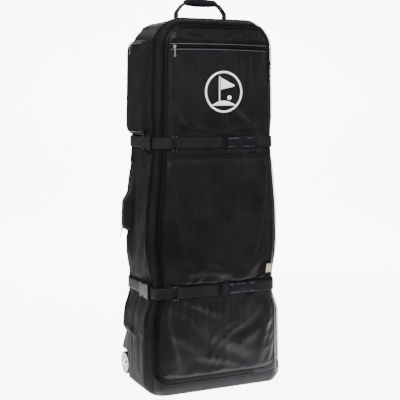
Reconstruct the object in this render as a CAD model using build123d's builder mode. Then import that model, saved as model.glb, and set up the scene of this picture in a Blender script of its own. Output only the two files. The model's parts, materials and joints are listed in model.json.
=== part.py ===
"""Golf travel case: an upright padded case for a golf bag, on two wheels.

Frame: the origin is the centre of the base underside, on the ground. +Z is up,
-Y is the front with the big lid, +Y is the back, which the wheels stand at.
All sizes are in millimetres.
"""
from build123d import *
import os
from math import cos, radians, sqrt

os.makedirs("parts", exist_ok=True)

# ---- overall form ----
HEIGHT = 1270.0            # ground to the top panel
BASE_WIDTH = 470.0         # across the base
TOP_WIDTH = 410.0          # across the top, if its corners were square
DEPTH = 300.0              # front face to back face
TOP_CORNER_R = 90.0        # shoulder radius, seen from the front
EDGE_R = 45.0              # rounding of the front and back edges
WALL = 6.0                 # padded fabric wall

HALF_DEPTH = DEPTH / 2
SLOPE = (BASE_WIDTH - TOP_WIDTH) / 2 / HEIGHT   # lean of each side wall
LEAN = sqrt(1 + SLOPE**2)  # level distance for each millimetre square to a side wall

# ---- lid ----
LID_INSET = EDGE_R * (1 - cos(radians(45)))     # the lid parts at 45 degrees round the edge
LID_BOTTOM = 45.0          # height of the lid's lower edge
LID_BOTTOM_R = 50.0        # its lower corner radius
PARTING = 0.6              # gap between lid and case, all the way round

# ---- base, boards and padding ----
BOOT_HEIGHT = 100.0        # base boot, above which the four walls start
BOARD = 3.0                # stiffener board thickness
BOARD_GAP = 0.3            # clearance round a stiffener board
FOAM = 18.0                # foam pad under the top
FOAM_LENGTH = 210.0
FOAM_WIDTH = 180.0

# ---- wheels ----
WHEEL_R = 41.0
WHEEL_WIDTH = 22.0
WHEEL_LIFT = 2.0           # wheels clear the ground while the case stands upright
WHEEL_X = 225.0            # middle of each wheel
WHEEL_Y = HALF_DEPTH       # axle line, in the plane of the back
TYRE_WALL = 7.0
WELL_GAP = 6.0             # round the wheel in its housing
SIDE_GAP = 7.0             # between the wheel's inner face and the housing web
WEB = 9.0                  # housing web that holds the axle
HOUSING_FRONT = WHEEL_Y - 62.0  # where each housing starts, behind the centre
HOUSING_TOP = 158.0
FENDER_REACH = WHEEL_Y + 40.0   # rear lip over the wheel
FENDER_BOTTOM = 92.0
BEARING_R = 11.0
BEARING_WIDTH = 7.0
AXLE_R = 4.0
AXLE_CLEARANCE = 0.05      # running fit in the bearings
NUT_THICK = 4.0            # axle nut, sunk in the housing web
SPOKES = 9

# ---- top handle ----
HANDLE_SPAN = 192.0        # between the two legs at the case
HANDLE_TOP = HEIGHT + 68.0 # middle of the webbing at the grip
HANDLE_PIVOT = 8.0         # pivot height over the top panel
GRIP_LENGTH = 124.0
GRIP_R = 11.0
LEG_WIDTH = 24.0
LEG_THICK = 4.0

# ---- straps ----
UPPER_STRAP_Z = 859.0
LOWER_STRAP_Z = 353.0
WEBBING = 38.0             # webbing width
WEBBING_THICK = 2.0
STRAP_OFF = 5.0            # webbing stands this far off the case
STRAP_PIVOT_Y = -88.0      # where each strap is sewn to the right wall
SEWN_GAP = 0.6             # between the loose strap and its sewn half
PAD_LENGTH = 112.0
PAD_THICK = 4.0
UPPER_PAD_X = 87.0         # middle of each padded wrap
LOWER_PAD_X = 94.0
UPPER_ADJUSTER_X = 19.0
LOWER_ADJUSTER_X = 5.0
ADJUSTER_LENGTH = 14.0
ADJUSTER_GAP = 0.4

# ---- side-release buckles ----
BUCKLE_HEIGHT = 50.0
BUCKLE_THICK = 11.0
BUCKLE_WALL = 2.2
BUCKLE_OFF = 10.5          # middle of the buckle, off the wall
SOCKET_FRONT = -78.0
SOCKET_REAR = -20.0
MALE_LENGTH = 20.0
PRONG_LENGTH = 34.0
PRONG_THICK = 2.6
PRONG_WIDTH = 5.0
PRONG_PLAY = 0.6
FINGER_PAD = 14.0

# ---- pockets and zips ----
POCKET_GAP = 0.3           # between a pocket and the wall it is sewn to
SHOE_FRONT = -35.0
SHOE_REAR = HALF_DEPTH - 22.0
SHOE_BOTTOM = 885.0
SHOE_TOP = HEIGHT - 65.0
SHOE_THICK = 18.0
SIDE_FRONT = 62.0
SIDE_REAR = HALF_DEPTH - 22.0
SIDE_BOTTOM = 540.0
SIDE_TOP = 771.0
SIDE_THICK = 36.0
FRONT_POCKET_THICK = 3.0
FRONT_POCKET_HALF = 178.0
FRONT_POCKET_BOTTOM = 812.0
FRONT_ZIP_Z = HEIGHT - 93.0
FRONT_ZIP_HEIGHT = 18.0
CHAIN_PROUD = 2.5          # main zip chain over the wall
CHAIN_HALF = 5.5           # each half of the chain
STUB_BOTTOM = HEIGHT - 210.0  # where the main zip ends on the right side
SLIDER_LENGTH = 12.0
SLIDER_WIDTH = 9.0
SLIDER_THICK = 5.0
SLIDER_GAP = 0.4
PULL_LENGTH = 30.0
PULL_THICK = 2.0
PULL_RING_R = 4.0

# ---- emblem and label ----
EMBLEM_X = 15.0
EMBLEM_Z = 1030.0
EMBLEM_R = 70.0
EMBLEM_THICK = 1.0
LABEL_X = 196.0
LABEL_Z = 412.0
LABEL_WIDTH = 17.0
LABEL_HEIGHT = 28.0
LABEL_THICK = 1.2


def half_width(height):
    """Half the case's width at a height: the sides lean in towards the top."""
    return BASE_WIDTH / 2 - SLOPE * height


def save(piece, name):
    """Label one finished piece and write it."""
    piece.part.label = name
    export_step(piece.part, "parts/" + name + ".step")


def case_form(inset):
    """The case's outer form, or the same form drawn in by an inset all round."""
    low = inset
    high = HEIGHT - inset
    with BuildPart() as form:
        with BuildSketch(Plane.XZ) as profile:
            with BuildLine():
                Polyline(
                    (inset * LEAN - half_width(low), low),
                    (half_width(low) - inset * LEAN, low),
                    (half_width(high) - inset * LEAN, high),
                    (inset * LEAN - half_width(high), high),
                    close=True,
                )
            make_face()
            fillet(profile.vertices().group_by(Axis.Y)[-1], TOP_CORNER_R - inset)
        extrude(amount=HALF_DEPTH - inset, both=True)
        rims = form.edges().filter_by(GeomType.LINE).filter_by(Axis.Y, reverse=True)
        arcs = form.edges().filter_by(GeomType.CIRCLE)
        above = rims.filter_by(lambda edge: edge.center().Z > low + 1) + arcs
        fillet(above, EDGE_R - inset)
    return form.part


def lid_prism(offset):
    """A front-to-back prism whose outline is the lid's edge, grown by an offset."""
    reach = LID_INSET - offset
    low = LID_BOTTOM - offset
    high = HEIGHT - reach
    with BuildPart() as prism:
        with BuildSketch(Plane.XZ.offset(HALF_DEPTH - EDGE_R)) as outline:
            with BuildLine():
                Polyline(
                    (reach * LEAN - half_width(low), low),
                    (half_width(low) - reach * LEAN, low),
                    (half_width(high) - reach * LEAN, high),
                    (reach * LEAN - half_width(high), high),
                    close=True,
                )
            make_face()
            fillet(outline.vertices().group_by(Axis.Y)[0], LID_BOTTOM_R + offset)
            fillet(outline.vertices().group_by(Axis.Y)[-1], TOP_CORNER_R - reach)
        extrude(amount=EDGE_R + 4 * STRAP_OFF)
    return prism.part


def block(x_low, x_high, y_low, y_high, z_low, z_high):
    """A box between two corners, for cutting and keeping."""
    with BuildPart() as region:
        with BuildSketch(Plane.XY.offset(z_low)):
            with Locations(((x_low + x_high) / 2, (y_low + y_high) / 2)):
                Rectangle(x_high - x_low, y_high - y_low)
        extrude(amount=z_high - z_low)
    return region.part


FAR = HEIGHT + 100.0       # beyond every piece
outer_form = case_form(0)
inner_form = case_form(WALL)
case_opening = lid_prism(PARTING / 2)
lid_shape = lid_prism(-PARTING / 2)
housing_inner_x = WHEEL_X - WHEEL_WIDTH / 2 - SIDE_GAP - WEB
walls_z = (BOOT_HEIGHT, HEIGHT - TOP_CORNER_R)
edge_y = HALF_DEPTH - EDGE_R


def clear_of_wheels():
    """Cut the two rear bottom corners out, for the wheel housings."""
    for side in (-1, 1):
        near = side * housing_inner_x
        far = side * FAR
        add(
            block(min(near, far), max(near, far), HOUSING_FRONT, FAR, -1, HOUSING_TOP),
            mode=Mode.SUBTRACT,
        )


# ---- padded walls ----
with BuildPart() as wall_shell:
    add(outer_form)
    add(inner_form, mode=Mode.SUBTRACT)
    add(case_opening, mode=Mode.SUBTRACT)
    clear_of_wheels()

with BuildPart() as back_panel:
    add(wall_shell.part)
    add(block(-FAR, FAR, edge_y, FAR, *walls_z), mode=Mode.INTERSECT)
save(back_panel, "back_panel")

with BuildPart() as left_side_panel:
    add(wall_shell.part)
    add(block(-FAR, 0, -FAR, edge_y, *walls_z), mode=Mode.INTERSECT)
save(left_side_panel, "left_side_panel")

with BuildPart() as right_side_panel:
    add(wall_shell.part)
    add(block(0, FAR, -FAR, edge_y, *walls_z), mode=Mode.INTERSECT)
save(right_side_panel, "right_side_panel")

with BuildPart() as top_panel:
    add(wall_shell.part)
    add(block(-FAR, FAR, -FAR, FAR, walls_z[1], FAR), mode=Mode.INTERSECT)
save(top_panel, "top_panel")

with BuildPart() as base_boot:
    add(wall_shell.part)
    add(block(-FAR, FAR, -FAR, FAR, -1, BOOT_HEIGHT), mode=Mode.INTERSECT)
save(base_boot, "base_boot")

with BuildPart() as front_lid:
    add(outer_form)
    add(inner_form, mode=Mode.SUBTRACT)
    add(lid_shape, mode=Mode.INTERSECT)
save(front_lid, "front_lid")

# ---- boards and padding inside ----
floor_z = WALL + BOARD_GAP
board_edge = WALL + BOARD_GAP
with BuildPart() as base_board:
    with BuildSketch(Plane.XY.offset(floor_z)) as base_plan:
        with Locations((0, (HOUSING_FRONT - HALF_DEPTH) / 2)):
            Rectangle(
                2 * (half_width(floor_z + BOARD) - board_edge - BOARD_GAP),
                HALF_DEPTH + HOUSING_FRONT - 2 * board_edge,
            )
        fillet(base_plan.vertices().group_by(Axis.Y)[0], EDGE_R - WALL)
        with Locations((0, HALF_DEPTH / 2 - board_edge / 2)):
            Rectangle(
                2 * (half_width(0) - EDGE_R - board_edge), HALF_DEPTH - board_edge
            )
    extrude(amount=BOARD)
save(base_board, "base_board")

back_board_y = HALF_DEPTH - WALL - BOARD_GAP
with BuildPart() as back_board:
    with BuildSketch(Plane.XZ.offset(-back_board_y)):
        with BuildLine():
            Polyline(
                (-half_width(HOUSING_TOP) + EDGE_R, HOUSING_TOP + board_edge),
                (half_width(HOUSING_TOP) - EDGE_R, HOUSING_TOP + board_edge),
                (half_width(walls_z[1]) - EDGE_R, walls_z[1]),
                (EDGE_R - half_width(walls_z[1]), walls_z[1]),
                close=True,
            )
        make_face()
    extrude(amount=BOARD)
save(back_board, "back_board")

with BuildPart() as top_foam_pad:
    with BuildSketch(Plane.XY.offset(HEIGHT - WALL - BOARD_GAP)):
        RectangleRounded(FOAM_LENGTH, FOAM_WIDTH, EDGE_R / 2)
    extrude(amount=-FOAM)
save(top_foam_pad, "top_foam_pad")

inner_strap_y = back_board_y - BOARD - BOARD_GAP
inner_strap_x = half_width(walls_z[1]) - EDGE_R
for name, height in (("upper", UPPER_STRAP_Z), ("lower", LOWER_STRAP_Z)):
    with BuildPart() as inner_strap:
        with BuildSketch(Plane.XZ.offset(-inner_strap_y)):
            with Locations((0, height)):
                RectangleRounded(2 * inner_strap_x, WEBBING, WEBBING_THICK)
        extrude(amount=WEBBING_THICK)
        with BuildSketch(Plane.XZ.offset(WEBBING_THICK - inner_strap_y)):
            with Locations((0, height)):
                RectangleRounded(WEBBING, WEBBING + LEG_THICK, LEG_THICK)
        extrude(amount=LEG_THICK)
    save(inner_strap, name + "_inner_strap")

# ---- main zip: one half on the case, one on the lid ----
zip_form = case_form(-CHAIN_PROUD)
zip_end = block(
    half_width(0) - EDGE_R - LID_BOTTOM_R, FAR, -FAR, FAR, -1, STUB_BOTTOM
)
with BuildPart() as main_zip_case:
    add(zip_form)
    add(outer_form, mode=Mode.SUBTRACT)
    add(lid_prism(CHAIN_HALF), mode=Mode.INTERSECT)
    add(case_opening, mode=Mode.SUBTRACT)
    add(zip_end, mode=Mode.SUBTRACT)
save(main_zip_case, "main_zip_case")

with BuildPart() as main_zip_lid:
    add(zip_form)
    add(outer_form, mode=Mode.SUBTRACT)
    add(lid_shape, mode=Mode.INTERSECT)
    add(lid_prism(-CHAIN_HALF), mode=Mode.SUBTRACT)
    add(zip_end, mode=Mode.SUBTRACT)
save(main_zip_lid, "main_zip_lid")

# ---- pockets ----
seam_form = case_form(-POCKET_GAP)


def pocket(thick, region):
    """A flat pouch that lies on the case's form, kept within one region."""
    with BuildPart() as pouch:
        add(case_form(-thick))
        add(seam_form, mode=Mode.SUBTRACT)
        add(region, mode=Mode.INTERSECT)
    return pouch


shoe_region = block(-FAR, 0, SHOE_FRONT, SHOE_REAR, SHOE_BOTTOM, SHOE_TOP)
save(pocket(SHOE_THICK, shoe_region), "shoe_pocket")

with BuildPart() as side_region:
    with BuildSketch(Plane.XZ.offset(-SIDE_FRONT)):
        with BuildLine():
            Polyline(
                (0, SIDE_BOTTOM),
                (-half_width(SIDE_BOTTOM) - SIDE_THICK, SIDE_BOTTOM),
                (-half_width(SIDE_TOP) - CHAIN_PROUD, SIDE_TOP),
                (0, SIDE_TOP),
                close=True,
            )
        make_face()
    extrude(amount=SIDE_FRONT - SIDE_REAR)
save(pocket(SIDE_THICK, side_region.part), "side_pocket")

front_zip_low = FRONT_ZIP_Z - FRONT_ZIP_HEIGHT / 2
front_region = block(
    -FRONT_POCKET_HALF, FRONT_POCKET_HALF, -FAR, 0, FRONT_POCKET_BOTTOM, front_zip_low
)
save(pocket(FRONT_POCKET_THICK, front_region), "front_pocket")
front_face = -HALF_DEPTH - FRONT_POCKET_THICK

with BuildPart() as front_pocket_zip:
    with BuildSketch(Plane.XZ.offset(HALF_DEPTH + POCKET_GAP)):
        with Locations((0, FRONT_ZIP_Z)):
            Rectangle(2 * FRONT_POCKET_HALF, FRONT_ZIP_HEIGHT)
    extrude(amount=FRONT_POCKET_THICK - POCKET_GAP)
save(front_pocket_zip, "front_pocket_zip")

with BuildPart() as emblem_patch:
    with BuildSketch(Plane.XZ.offset(-front_face)):
        with Locations((EMBLEM_X, EMBLEM_Z)):
            Circle(EMBLEM_R)
    extrude(amount=EMBLEM_THICK)
save(emblem_patch, "emblem_patch")

with BuildPart() as woven_label:
    add(case_form(-LABEL_THICK))
    add(outer_form, mode=Mode.SUBTRACT)
    label_left = LABEL_X - LABEL_WIDTH / 2
    label_low = LABEL_Z - LABEL_HEIGHT / 2
    add(
        block(label_left, label_left + LABEL_WIDTH, -FAR, 0, label_low, label_low + LABEL_HEIGHT),
        mode=Mode.INTERSECT,
    )
save(woven_label, "woven_label")


# ---- zip sliders with hanging pulls ----
def slider_and_pull(name, spot, outward):
    """A slider body on a surface, and a pull that hangs from its nose."""
    across = Vector(0, 0, 1).cross(outward)
    base = Plane(origin=spot, x_dir=across, z_dir=outward)
    with BuildPart() as slider:
        with BuildSketch(base):
            RectangleRounded(SLIDER_WIDTH, SLIDER_LENGTH, SLIDER_WIDTH / 3)
        extrude(amount=SLIDER_THICK)
        fillet(slider.faces().sort_by(SortBy.AREA)[-1].edges(), 1.0)
    save(slider, name + "_slider")
    hang = base.offset(SLIDER_THICK + SLIDER_GAP)
    with BuildPart() as pull:
        with BuildSketch(hang):
            with Locations((0, -PULL_LENGTH / 2)):
                RectangleRounded(PULL_RING_R, PULL_LENGTH, PULL_RING_R / 3)
            with Locations((0, -PULL_LENGTH)):
                Circle(PULL_RING_R)
            with Locations((0, -PULL_LENGTH)):
                Circle(PULL_RING_R / 2, mode=Mode.SUBTRACT)
        extrude(amount=PULL_THICK)
    save(pull, name + "_pull")


front_slider_x = SLIDER_LENGTH - FRONT_POCKET_HALF
slider_y = front_face - SLIDER_GAP
slider_and_pull(
    "front_pocket", Vector(front_slider_x, slider_y, FRONT_ZIP_Z), Vector(0, -1, 0)
)
shoe_slider_z = SHOE_TOP - SLIDER_LENGTH
side_out = Vector(-1, 0, SLOPE).normalized()
slider_and_pull(
    "shoe_pocket",
    Vector(-half_width(shoe_slider_z) - SHOE_THICK - SLIDER_GAP, SHOE_REAR - EDGE_R, shoe_slider_z),
    side_out,
)
side_slider_z = SIDE_BOTTOM + SLIDER_LENGTH
side_slant = (SIDE_THICK - CHAIN_PROUD) / (SIDE_TOP - SIDE_BOTTOM)
slider_and_pull(
    "side_pocket",
    Vector(
        SLIDER_LENGTH * side_slant - half_width(side_slider_z) - SIDE_THICK - SLIDER_GAP,
        (SIDE_FRONT + SIDE_REAR) / 2,
        side_slider_z,
    ),
    Vector(-1, 0, side_slant + SLOPE).normalized(),
)
main_slider_z = HEIGHT - TOP_CORNER_R
edge_out = Vector(1, -1, 0).normalized()
edge_reach = EDGE_R + CHAIN_PROUD + SLIDER_GAP
edge_shift = CHAIN_HALF / sqrt(2)
slider_and_pull(
    "main",
    Vector(
        half_width(main_slider_z) - EDGE_R + edge_reach / sqrt(2) + edge_shift,
        EDGE_R - HALF_DEPTH - edge_reach / sqrt(2) + edge_shift,
        main_slider_z,
    ),
    edge_out,
)


# ---- straps with side-release buckles ----
def webbing_ring(height, near, far, width):
    """A level ring of webbing round the case, between two distances off its walls."""
    with BuildPart() as ring:
        with BuildSketch(Plane.XY.offset(height - width / 2)):
            RectangleRounded(
                2 * (half_width(height) + far), DEPTH + 2 * far, EDGE_R + far
            )
            RectangleRounded(
                2 * (half_width(height) + near),
                DEPTH + 2 * near,
                EDGE_R + near,
                mode=Mode.SUBTRACT,
            )
        extrude(amount=width)
    return ring.part


for name, height, pad_x, adjuster_x in (
    ("upper", UPPER_STRAP_Z, UPPER_PAD_X, UPPER_ADJUSTER_X),
    ("lower", LOWER_STRAP_Z, LOWER_PAD_X, LOWER_ADJUSTER_X),
):
    band = webbing_ring(height, STRAP_OFF, STRAP_OFF + WEBBING_THICK, WEBBING)
    low = height - BUCKLE_HEIGHT
    high = height + BUCKLE_HEIGHT
    male_front = SOCKET_FRONT - MALE_LENGTH

    with BuildPart() as strap:
        add(band)
        add(block(0, FAR, STRAP_PIVOT_Y, FAR, low, high), mode=Mode.SUBTRACT)
        add(block(-FAR, 0, male_front, FAR, low, high), mode=Mode.SUBTRACT)
    save(strap, name + "_strap")

    with BuildPart() as strap_tail:
        add(band)
        add(block(0, FAR, -FAR, STRAP_PIVOT_Y + SEWN_GAP, low, high), mode=Mode.SUBTRACT)
        add(block(-FAR, 0, -FAR, SOCKET_REAR, low, high), mode=Mode.SUBTRACT)
    save(strap_tail, name + "_strap_tail")

    webbing_face = HALF_DEPTH + STRAP_OFF + WEBBING_THICK
    with BuildPart() as strap_pad:
        with BuildSketch(Plane.XZ.offset(webbing_face)):
            with Locations((pad_x, height)):
                RectangleRounded(PAD_LENGTH, WEBBING - LEG_THICK, LEG_THICK)
        extrude(amount=PAD_THICK)
    save(strap_pad, name + "_strap_pad")

    with BuildPart() as adjuster:
        with BuildSketch(Plane.XZ.offset(webbing_face + ADJUSTER_GAP)):
            with Locations((adjuster_x, height)):
                RectangleRounded(ADJUSTER_LENGTH, WEBBING + LEG_THICK, BUCKLE_WALL)
            with Locations((adjuster_x, height)):
                Rectangle(BUCKLE_WALL * 2, WEBBING - LEG_THICK, mode=Mode.SUBTRACT)
        extrude(amount=PAD_THICK)
    save(adjuster, name + "_adjuster")

    buckle_x = -half_width(height) - BUCKLE_OFF
    outer_x = BUCKLE_THICK / 2
    with BuildPart() as socket:
        with BuildSketch(Plane.YZ.offset(buckle_x - outer_x)):
            with Locations(((SOCKET_FRONT + SOCKET_REAR) / 2, height)):
                RectangleRounded(
                    SOCKET_REAR - SOCKET_FRONT, BUCKLE_HEIGHT, 2 * BUCKLE_WALL
                )
        extrude(amount=BUCKLE_THICK)
        add(
            block(
                buckle_x - outer_x + BUCKLE_WALL,
                buckle_x + outer_x - BUCKLE_WALL,
                SOCKET_FRONT - 1,
                PRONG_LENGTH + SOCKET_FRONT + BUCKLE_WALL,
                height - BUCKLE_HEIGHT / 2 + BUCKLE_WALL,
                height + BUCKLE_HEIGHT / 2 - BUCKLE_WALL,
            ),
            mode=Mode.SUBTRACT,
        )
        window_rear = SOCKET_FRONT + PRONG_LENGTH
        add(
            block(
                buckle_x - outer_x - 1,
                buckle_x + outer_x + 1,
                window_rear - FINGER_PAD,
                window_rear,
                height - BUCKLE_HEIGHT,
                height + BUCKLE_HEIGHT,
            )
            - block(
                buckle_x - FAR, FAR, -FAR, FAR,
                height - BUCKLE_HEIGHT / 2 + 3 * BUCKLE_WALL,
                height + BUCKLE_HEIGHT / 2 - 3 * BUCKLE_WALL,
            ),
            mode=Mode.SUBTRACT,
        )
    save(socket, name + "_buckle_socket")

    with BuildPart() as buckle_plug:
        with BuildSketch(Plane.YZ.offset(buckle_x - outer_x)):
            with Locations((SOCKET_FRONT - SEWN_GAP - MALE_LENGTH / 2, height)):
                RectangleRounded(MALE_LENGTH, BUCKLE_HEIGHT, 2 * BUCKLE_WALL)
        extrude(amount=BUCKLE_THICK)
        add(
            block(
                buckle_x - outer_x - 1, buckle_x + outer_x + 1,
                male_front - 1, male_front + BUCKLE_WALL,
                low, high,
            ),
            mode=Mode.SUBTRACT,
        )
    save(buckle_plug, name + "_buckle_plug")

    for end, way in (("top", 1), ("bottom", -1)):
        prong_z = height + way * (BUCKLE_HEIGHT / 2 - BUCKLE_WALL - PRONG_PLAY - PRONG_WIDTH)
        with BuildPart() as prong:
            with BuildSketch(Plane.YZ.offset(buckle_x - PRONG_THICK / 2)):
                with Locations((SOCKET_FRONT + PRONG_LENGTH / 2, prong_z)):
                    RectangleRounded(PRONG_LENGTH, PRONG_WIDTH, PRONG_WIDTH / 3)
                with Locations(
                    (window_rear - FINGER_PAD / 2 - PRONG_PLAY, prong_z + way * PRONG_WIDTH / 2)
                ):
                    RectangleRounded(FINGER_PAD - 2 * PRONG_PLAY, PRONG_WIDTH, PRONG_WIDTH / 3)
            extrude(amount=PRONG_THICK)
        save(prong, name + "_prong_" + end)

# ---- wheels, axles and housings ----
axle_z = WHEEL_R + WHEEL_LIFT
well_r = WHEEL_R + WELL_GAP
hub_r = WHEEL_R - TYRE_WALL
bore_r = AXLE_R + AXLE_CLEARANCE
web_x = WHEEL_X - WHEEL_WIDTH / 2 - SIDE_GAP
housing_outer_x = half_width(HOUSING_TOP)
half_wheel = WHEEL_WIDTH / 2
axle_head_x = WHEEL_X + half_wheel + BOARD
nut_x = housing_inner_x

for name, side in (("left", -1), ("right", 1)):
    wheel_plane = Plane(
        origin=(side * WHEEL_X, WHEEL_Y, axle_z), x_dir=(0, 1, 0), z_dir=(side, 0, 0)
    )
    with BuildPart() as housing:
        with BuildSketch(Plane.YZ.offset(side * housing_inner_x)):
            with BuildLine():
                Polyline(
                    (HOUSING_FRONT + PARTING, PARTING),
                    (WHEEL_Y - well_r, PARTING),
                    (WHEEL_Y, axle_z - 2 * BEARING_R),
                    (WHEEL_Y + 2 * BEARING_R, axle_z),
                    (FENDER_REACH, FENDER_BOTTOM),
                    (HALF_DEPTH, HOUSING_TOP - PARTING),
                    (HOUSING_FRONT + PARTING, HOUSING_TOP - PARTING),
                    close=True,
                )
            make_face()
        extrude(amount=side * (housing_outer_x - housing_inner_x))
        with BuildSketch(Plane.YZ.offset(side * web_x)):
            with Locations((WHEEL_Y, axle_z)):
                Circle(well_r)
            with Locations((WHEEL_Y + FENDER_REACH / 2, FENDER_BOTTOM / 2)):
                Rectangle(FENDER_REACH, FENDER_BOTTOM)
            with Locations((WHEEL_Y, -well_r / 2 + axle_z / 2)):
                Rectangle(2 * well_r, well_r + axle_z)
        extrude(amount=side * FAR, mode=Mode.SUBTRACT)
        with BuildSketch(Plane.YZ.offset(side * housing_inner_x)):
            with Locations((WHEEL_Y, axle_z)):
                Circle(bore_r)
        extrude(amount=side * FAR, mode=Mode.SUBTRACT)
        with BuildSketch(Plane.YZ.offset(side * housing_inner_x)):
            with Locations((WHEEL_Y, axle_z)):
                Circle(2 * AXLE_R + PARTING)
        extrude(amount=side * (NUT_THICK + PARTING), mode=Mode.SUBTRACT)
    save(housing, name + "_wheel_housing")

    with BuildPart() as tyre:
        with BuildSketch(wheel_plane.offset(-half_wheel)):
            Circle(WHEEL_R)
            Circle(hub_r, mode=Mode.SUBTRACT)
        extrude(amount=WHEEL_WIDTH)
        rims = tyre.edges().filter_by(GeomType.CIRCLE)
        outer_rims = rims.filter_by(lambda edge: edge.radius > hub_r + 1)
        fillet(outer_rims, TYRE_WALL / 2)
    save(tyre, name + "_tyre")

    with BuildPart() as hub:
        with BuildSketch(wheel_plane.offset(-half_wheel)):
            Circle(hub_r)
            Circle(BEARING_R, mode=Mode.SUBTRACT)
            with PolarLocations((hub_r + BEARING_R) / 2, SPOKES):
                SlotOverall(hub_r - BEARING_R - TYRE_WALL, TYRE_WALL, mode=Mode.SUBTRACT)
        extrude(amount=WHEEL_WIDTH)
    save(hub, name + "_hub")

    with BuildPart() as bearings:
        with BuildSketch(wheel_plane.offset(-half_wheel)):
            Circle(BEARING_R)
            Circle(bore_r, mode=Mode.SUBTRACT)
        extrude(amount=BEARING_WIDTH)
        with BuildSketch(wheel_plane.offset(half_wheel - BEARING_WIDTH)):
            Circle(BEARING_R)
            Circle(bore_r, mode=Mode.SUBTRACT)
        extrude(amount=BEARING_WIDTH)
    save(bearings, name + "_bearings")

    with BuildPart() as axle:
        with BuildSketch(Plane.YZ.offset(side * nut_x)):
            with Locations((WHEEL_Y, axle_z)):
                Circle(AXLE_R)
        extrude(amount=side * (axle_head_x - nut_x))
        with BuildSketch(Plane.YZ.offset(side * (WHEEL_X + half_wheel + SEWN_GAP))):
            with Locations((WHEEL_Y, axle_z)):
                Circle(2 * AXLE_R)
        extrude(amount=side * BOARD)
        with BuildSketch(Plane.YZ.offset(side * nut_x)):
            with Locations((WHEEL_Y, axle_z)):
                RegularPolygon(2 * AXLE_R, 6)
        extrude(amount=side * NUT_THICK)
        with BuildSketch(Plane.YZ.offset(side * (web_x + PARTING))):
            with Locations((WHEEL_Y, axle_z)):
                Circle(2 * AXLE_R)
        extrude(amount=side * (SIDE_GAP - 2 * PARTING))
    save(axle, name + "_axle")

# ---- top handle ----
pivot_z = HEIGHT + HANDLE_PIVOT
half_span = HANDLE_SPAN / 2
eye_r = HANDLE_PIVOT - BOARD
with BuildPart() as handle_webbing:
    with BuildSketch(Plane.XZ.offset(-LEG_WIDTH / 2)):
        with BuildLine():
            FilletPolyline(
                (-half_span, pivot_z),
                (-half_span + LEG_THICK, (pivot_z + HANDLE_TOP) / 2),
                (-GRIP_LENGTH / 2, HANDLE_TOP),
                (GRIP_LENGTH / 2, HANDLE_TOP),
                (half_span - LEG_THICK, (pivot_z + HANDLE_TOP) / 2),
                (half_span, pivot_z),
                radius=2 * LEG_THICK,
            )
        trace(line_width=LEG_THICK)
    extrude(amount=LEG_WIDTH)
    with BuildSketch(Plane.YZ.offset(-half_span - LEG_THICK)):
        with Locations((0, pivot_z)):
            Rectangle(LEG_WIDTH + 2, 2 * eye_r + LEG_WIDTH)
            Rectangle(2 * eye_r, 2 * eye_r + LEG_WIDTH, mode=Mode.SUBTRACT)
    extrude(amount=HANDLE_SPAN + 2 * LEG_THICK, mode=Mode.SUBTRACT)
save(handle_webbing, "handle_webbing")

with BuildPart() as handle_grip:
    with BuildSketch(Plane.YZ.offset(-GRIP_LENGTH / 2)):
        with Locations((0, HANDLE_TOP)):
            Ellipse(LEG_WIDTH / 2 + LEG_THICK, GRIP_R)
            Rectangle(LEG_WIDTH, LEG_THICK, mode=Mode.SUBTRACT)
    extrude(amount=GRIP_LENGTH)
    add(handle_webbing.part, mode=Mode.SUBTRACT)
save(handle_grip, "handle_grip")

with BuildPart() as handle_anchors:
    with BuildSketch(Plane.XY.offset(HEIGHT)):
        with Locations((-half_span + LEG_THICK, 0), (half_span - LEG_THICK, 0)):
            RectangleRounded(WEBBING, WEBBING, LEG_THICK)
    extrude(amount=WEBBING_THICK)
save(handle_anchors, "handle_anchors")
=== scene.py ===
"""Looks for a golf travel case: fabric panels, straps, zips, pockets and wheels.

Lengths that a user may change are in the property group; the rest follow the frame.
"""
import json
import math

import bmesh
import bpy
import numpy as np
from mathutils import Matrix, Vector, noise

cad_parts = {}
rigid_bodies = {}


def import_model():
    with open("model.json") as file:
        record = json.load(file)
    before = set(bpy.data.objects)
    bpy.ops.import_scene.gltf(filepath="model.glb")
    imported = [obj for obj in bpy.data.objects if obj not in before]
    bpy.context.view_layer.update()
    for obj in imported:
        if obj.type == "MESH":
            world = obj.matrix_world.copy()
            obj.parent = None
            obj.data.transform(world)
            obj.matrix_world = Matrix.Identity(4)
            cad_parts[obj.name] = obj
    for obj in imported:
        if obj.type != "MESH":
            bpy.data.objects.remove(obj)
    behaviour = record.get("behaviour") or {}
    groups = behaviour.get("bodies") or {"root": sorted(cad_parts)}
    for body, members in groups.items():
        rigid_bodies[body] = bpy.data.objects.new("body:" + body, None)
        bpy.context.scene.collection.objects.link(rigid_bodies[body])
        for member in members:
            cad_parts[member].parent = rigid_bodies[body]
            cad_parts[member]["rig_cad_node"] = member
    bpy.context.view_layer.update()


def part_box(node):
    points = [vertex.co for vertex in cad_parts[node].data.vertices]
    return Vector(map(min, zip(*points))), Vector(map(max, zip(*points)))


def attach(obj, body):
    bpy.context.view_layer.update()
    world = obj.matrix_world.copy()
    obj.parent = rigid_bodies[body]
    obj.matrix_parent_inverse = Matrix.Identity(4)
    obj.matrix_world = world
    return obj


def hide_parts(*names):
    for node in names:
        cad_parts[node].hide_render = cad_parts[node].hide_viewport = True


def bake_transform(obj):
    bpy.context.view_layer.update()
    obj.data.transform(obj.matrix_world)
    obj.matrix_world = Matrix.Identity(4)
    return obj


bl_info = {
    "name": "Golf travel case",
    "version": (1, 0, 0),
    "blender": (4, 5, 0),
    "location": "View3D > Sidebar > Travel Case",
    "description": "Builds the fabric, straps, zips and wheels of a golf travel case",
    "category": "Object",
}

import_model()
MM = 0.001


def box_mm(node):
    """Lowest and highest corners of a CAD node, in metres."""
    low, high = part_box(node)
    return Vector(low), Vector(high)


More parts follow.
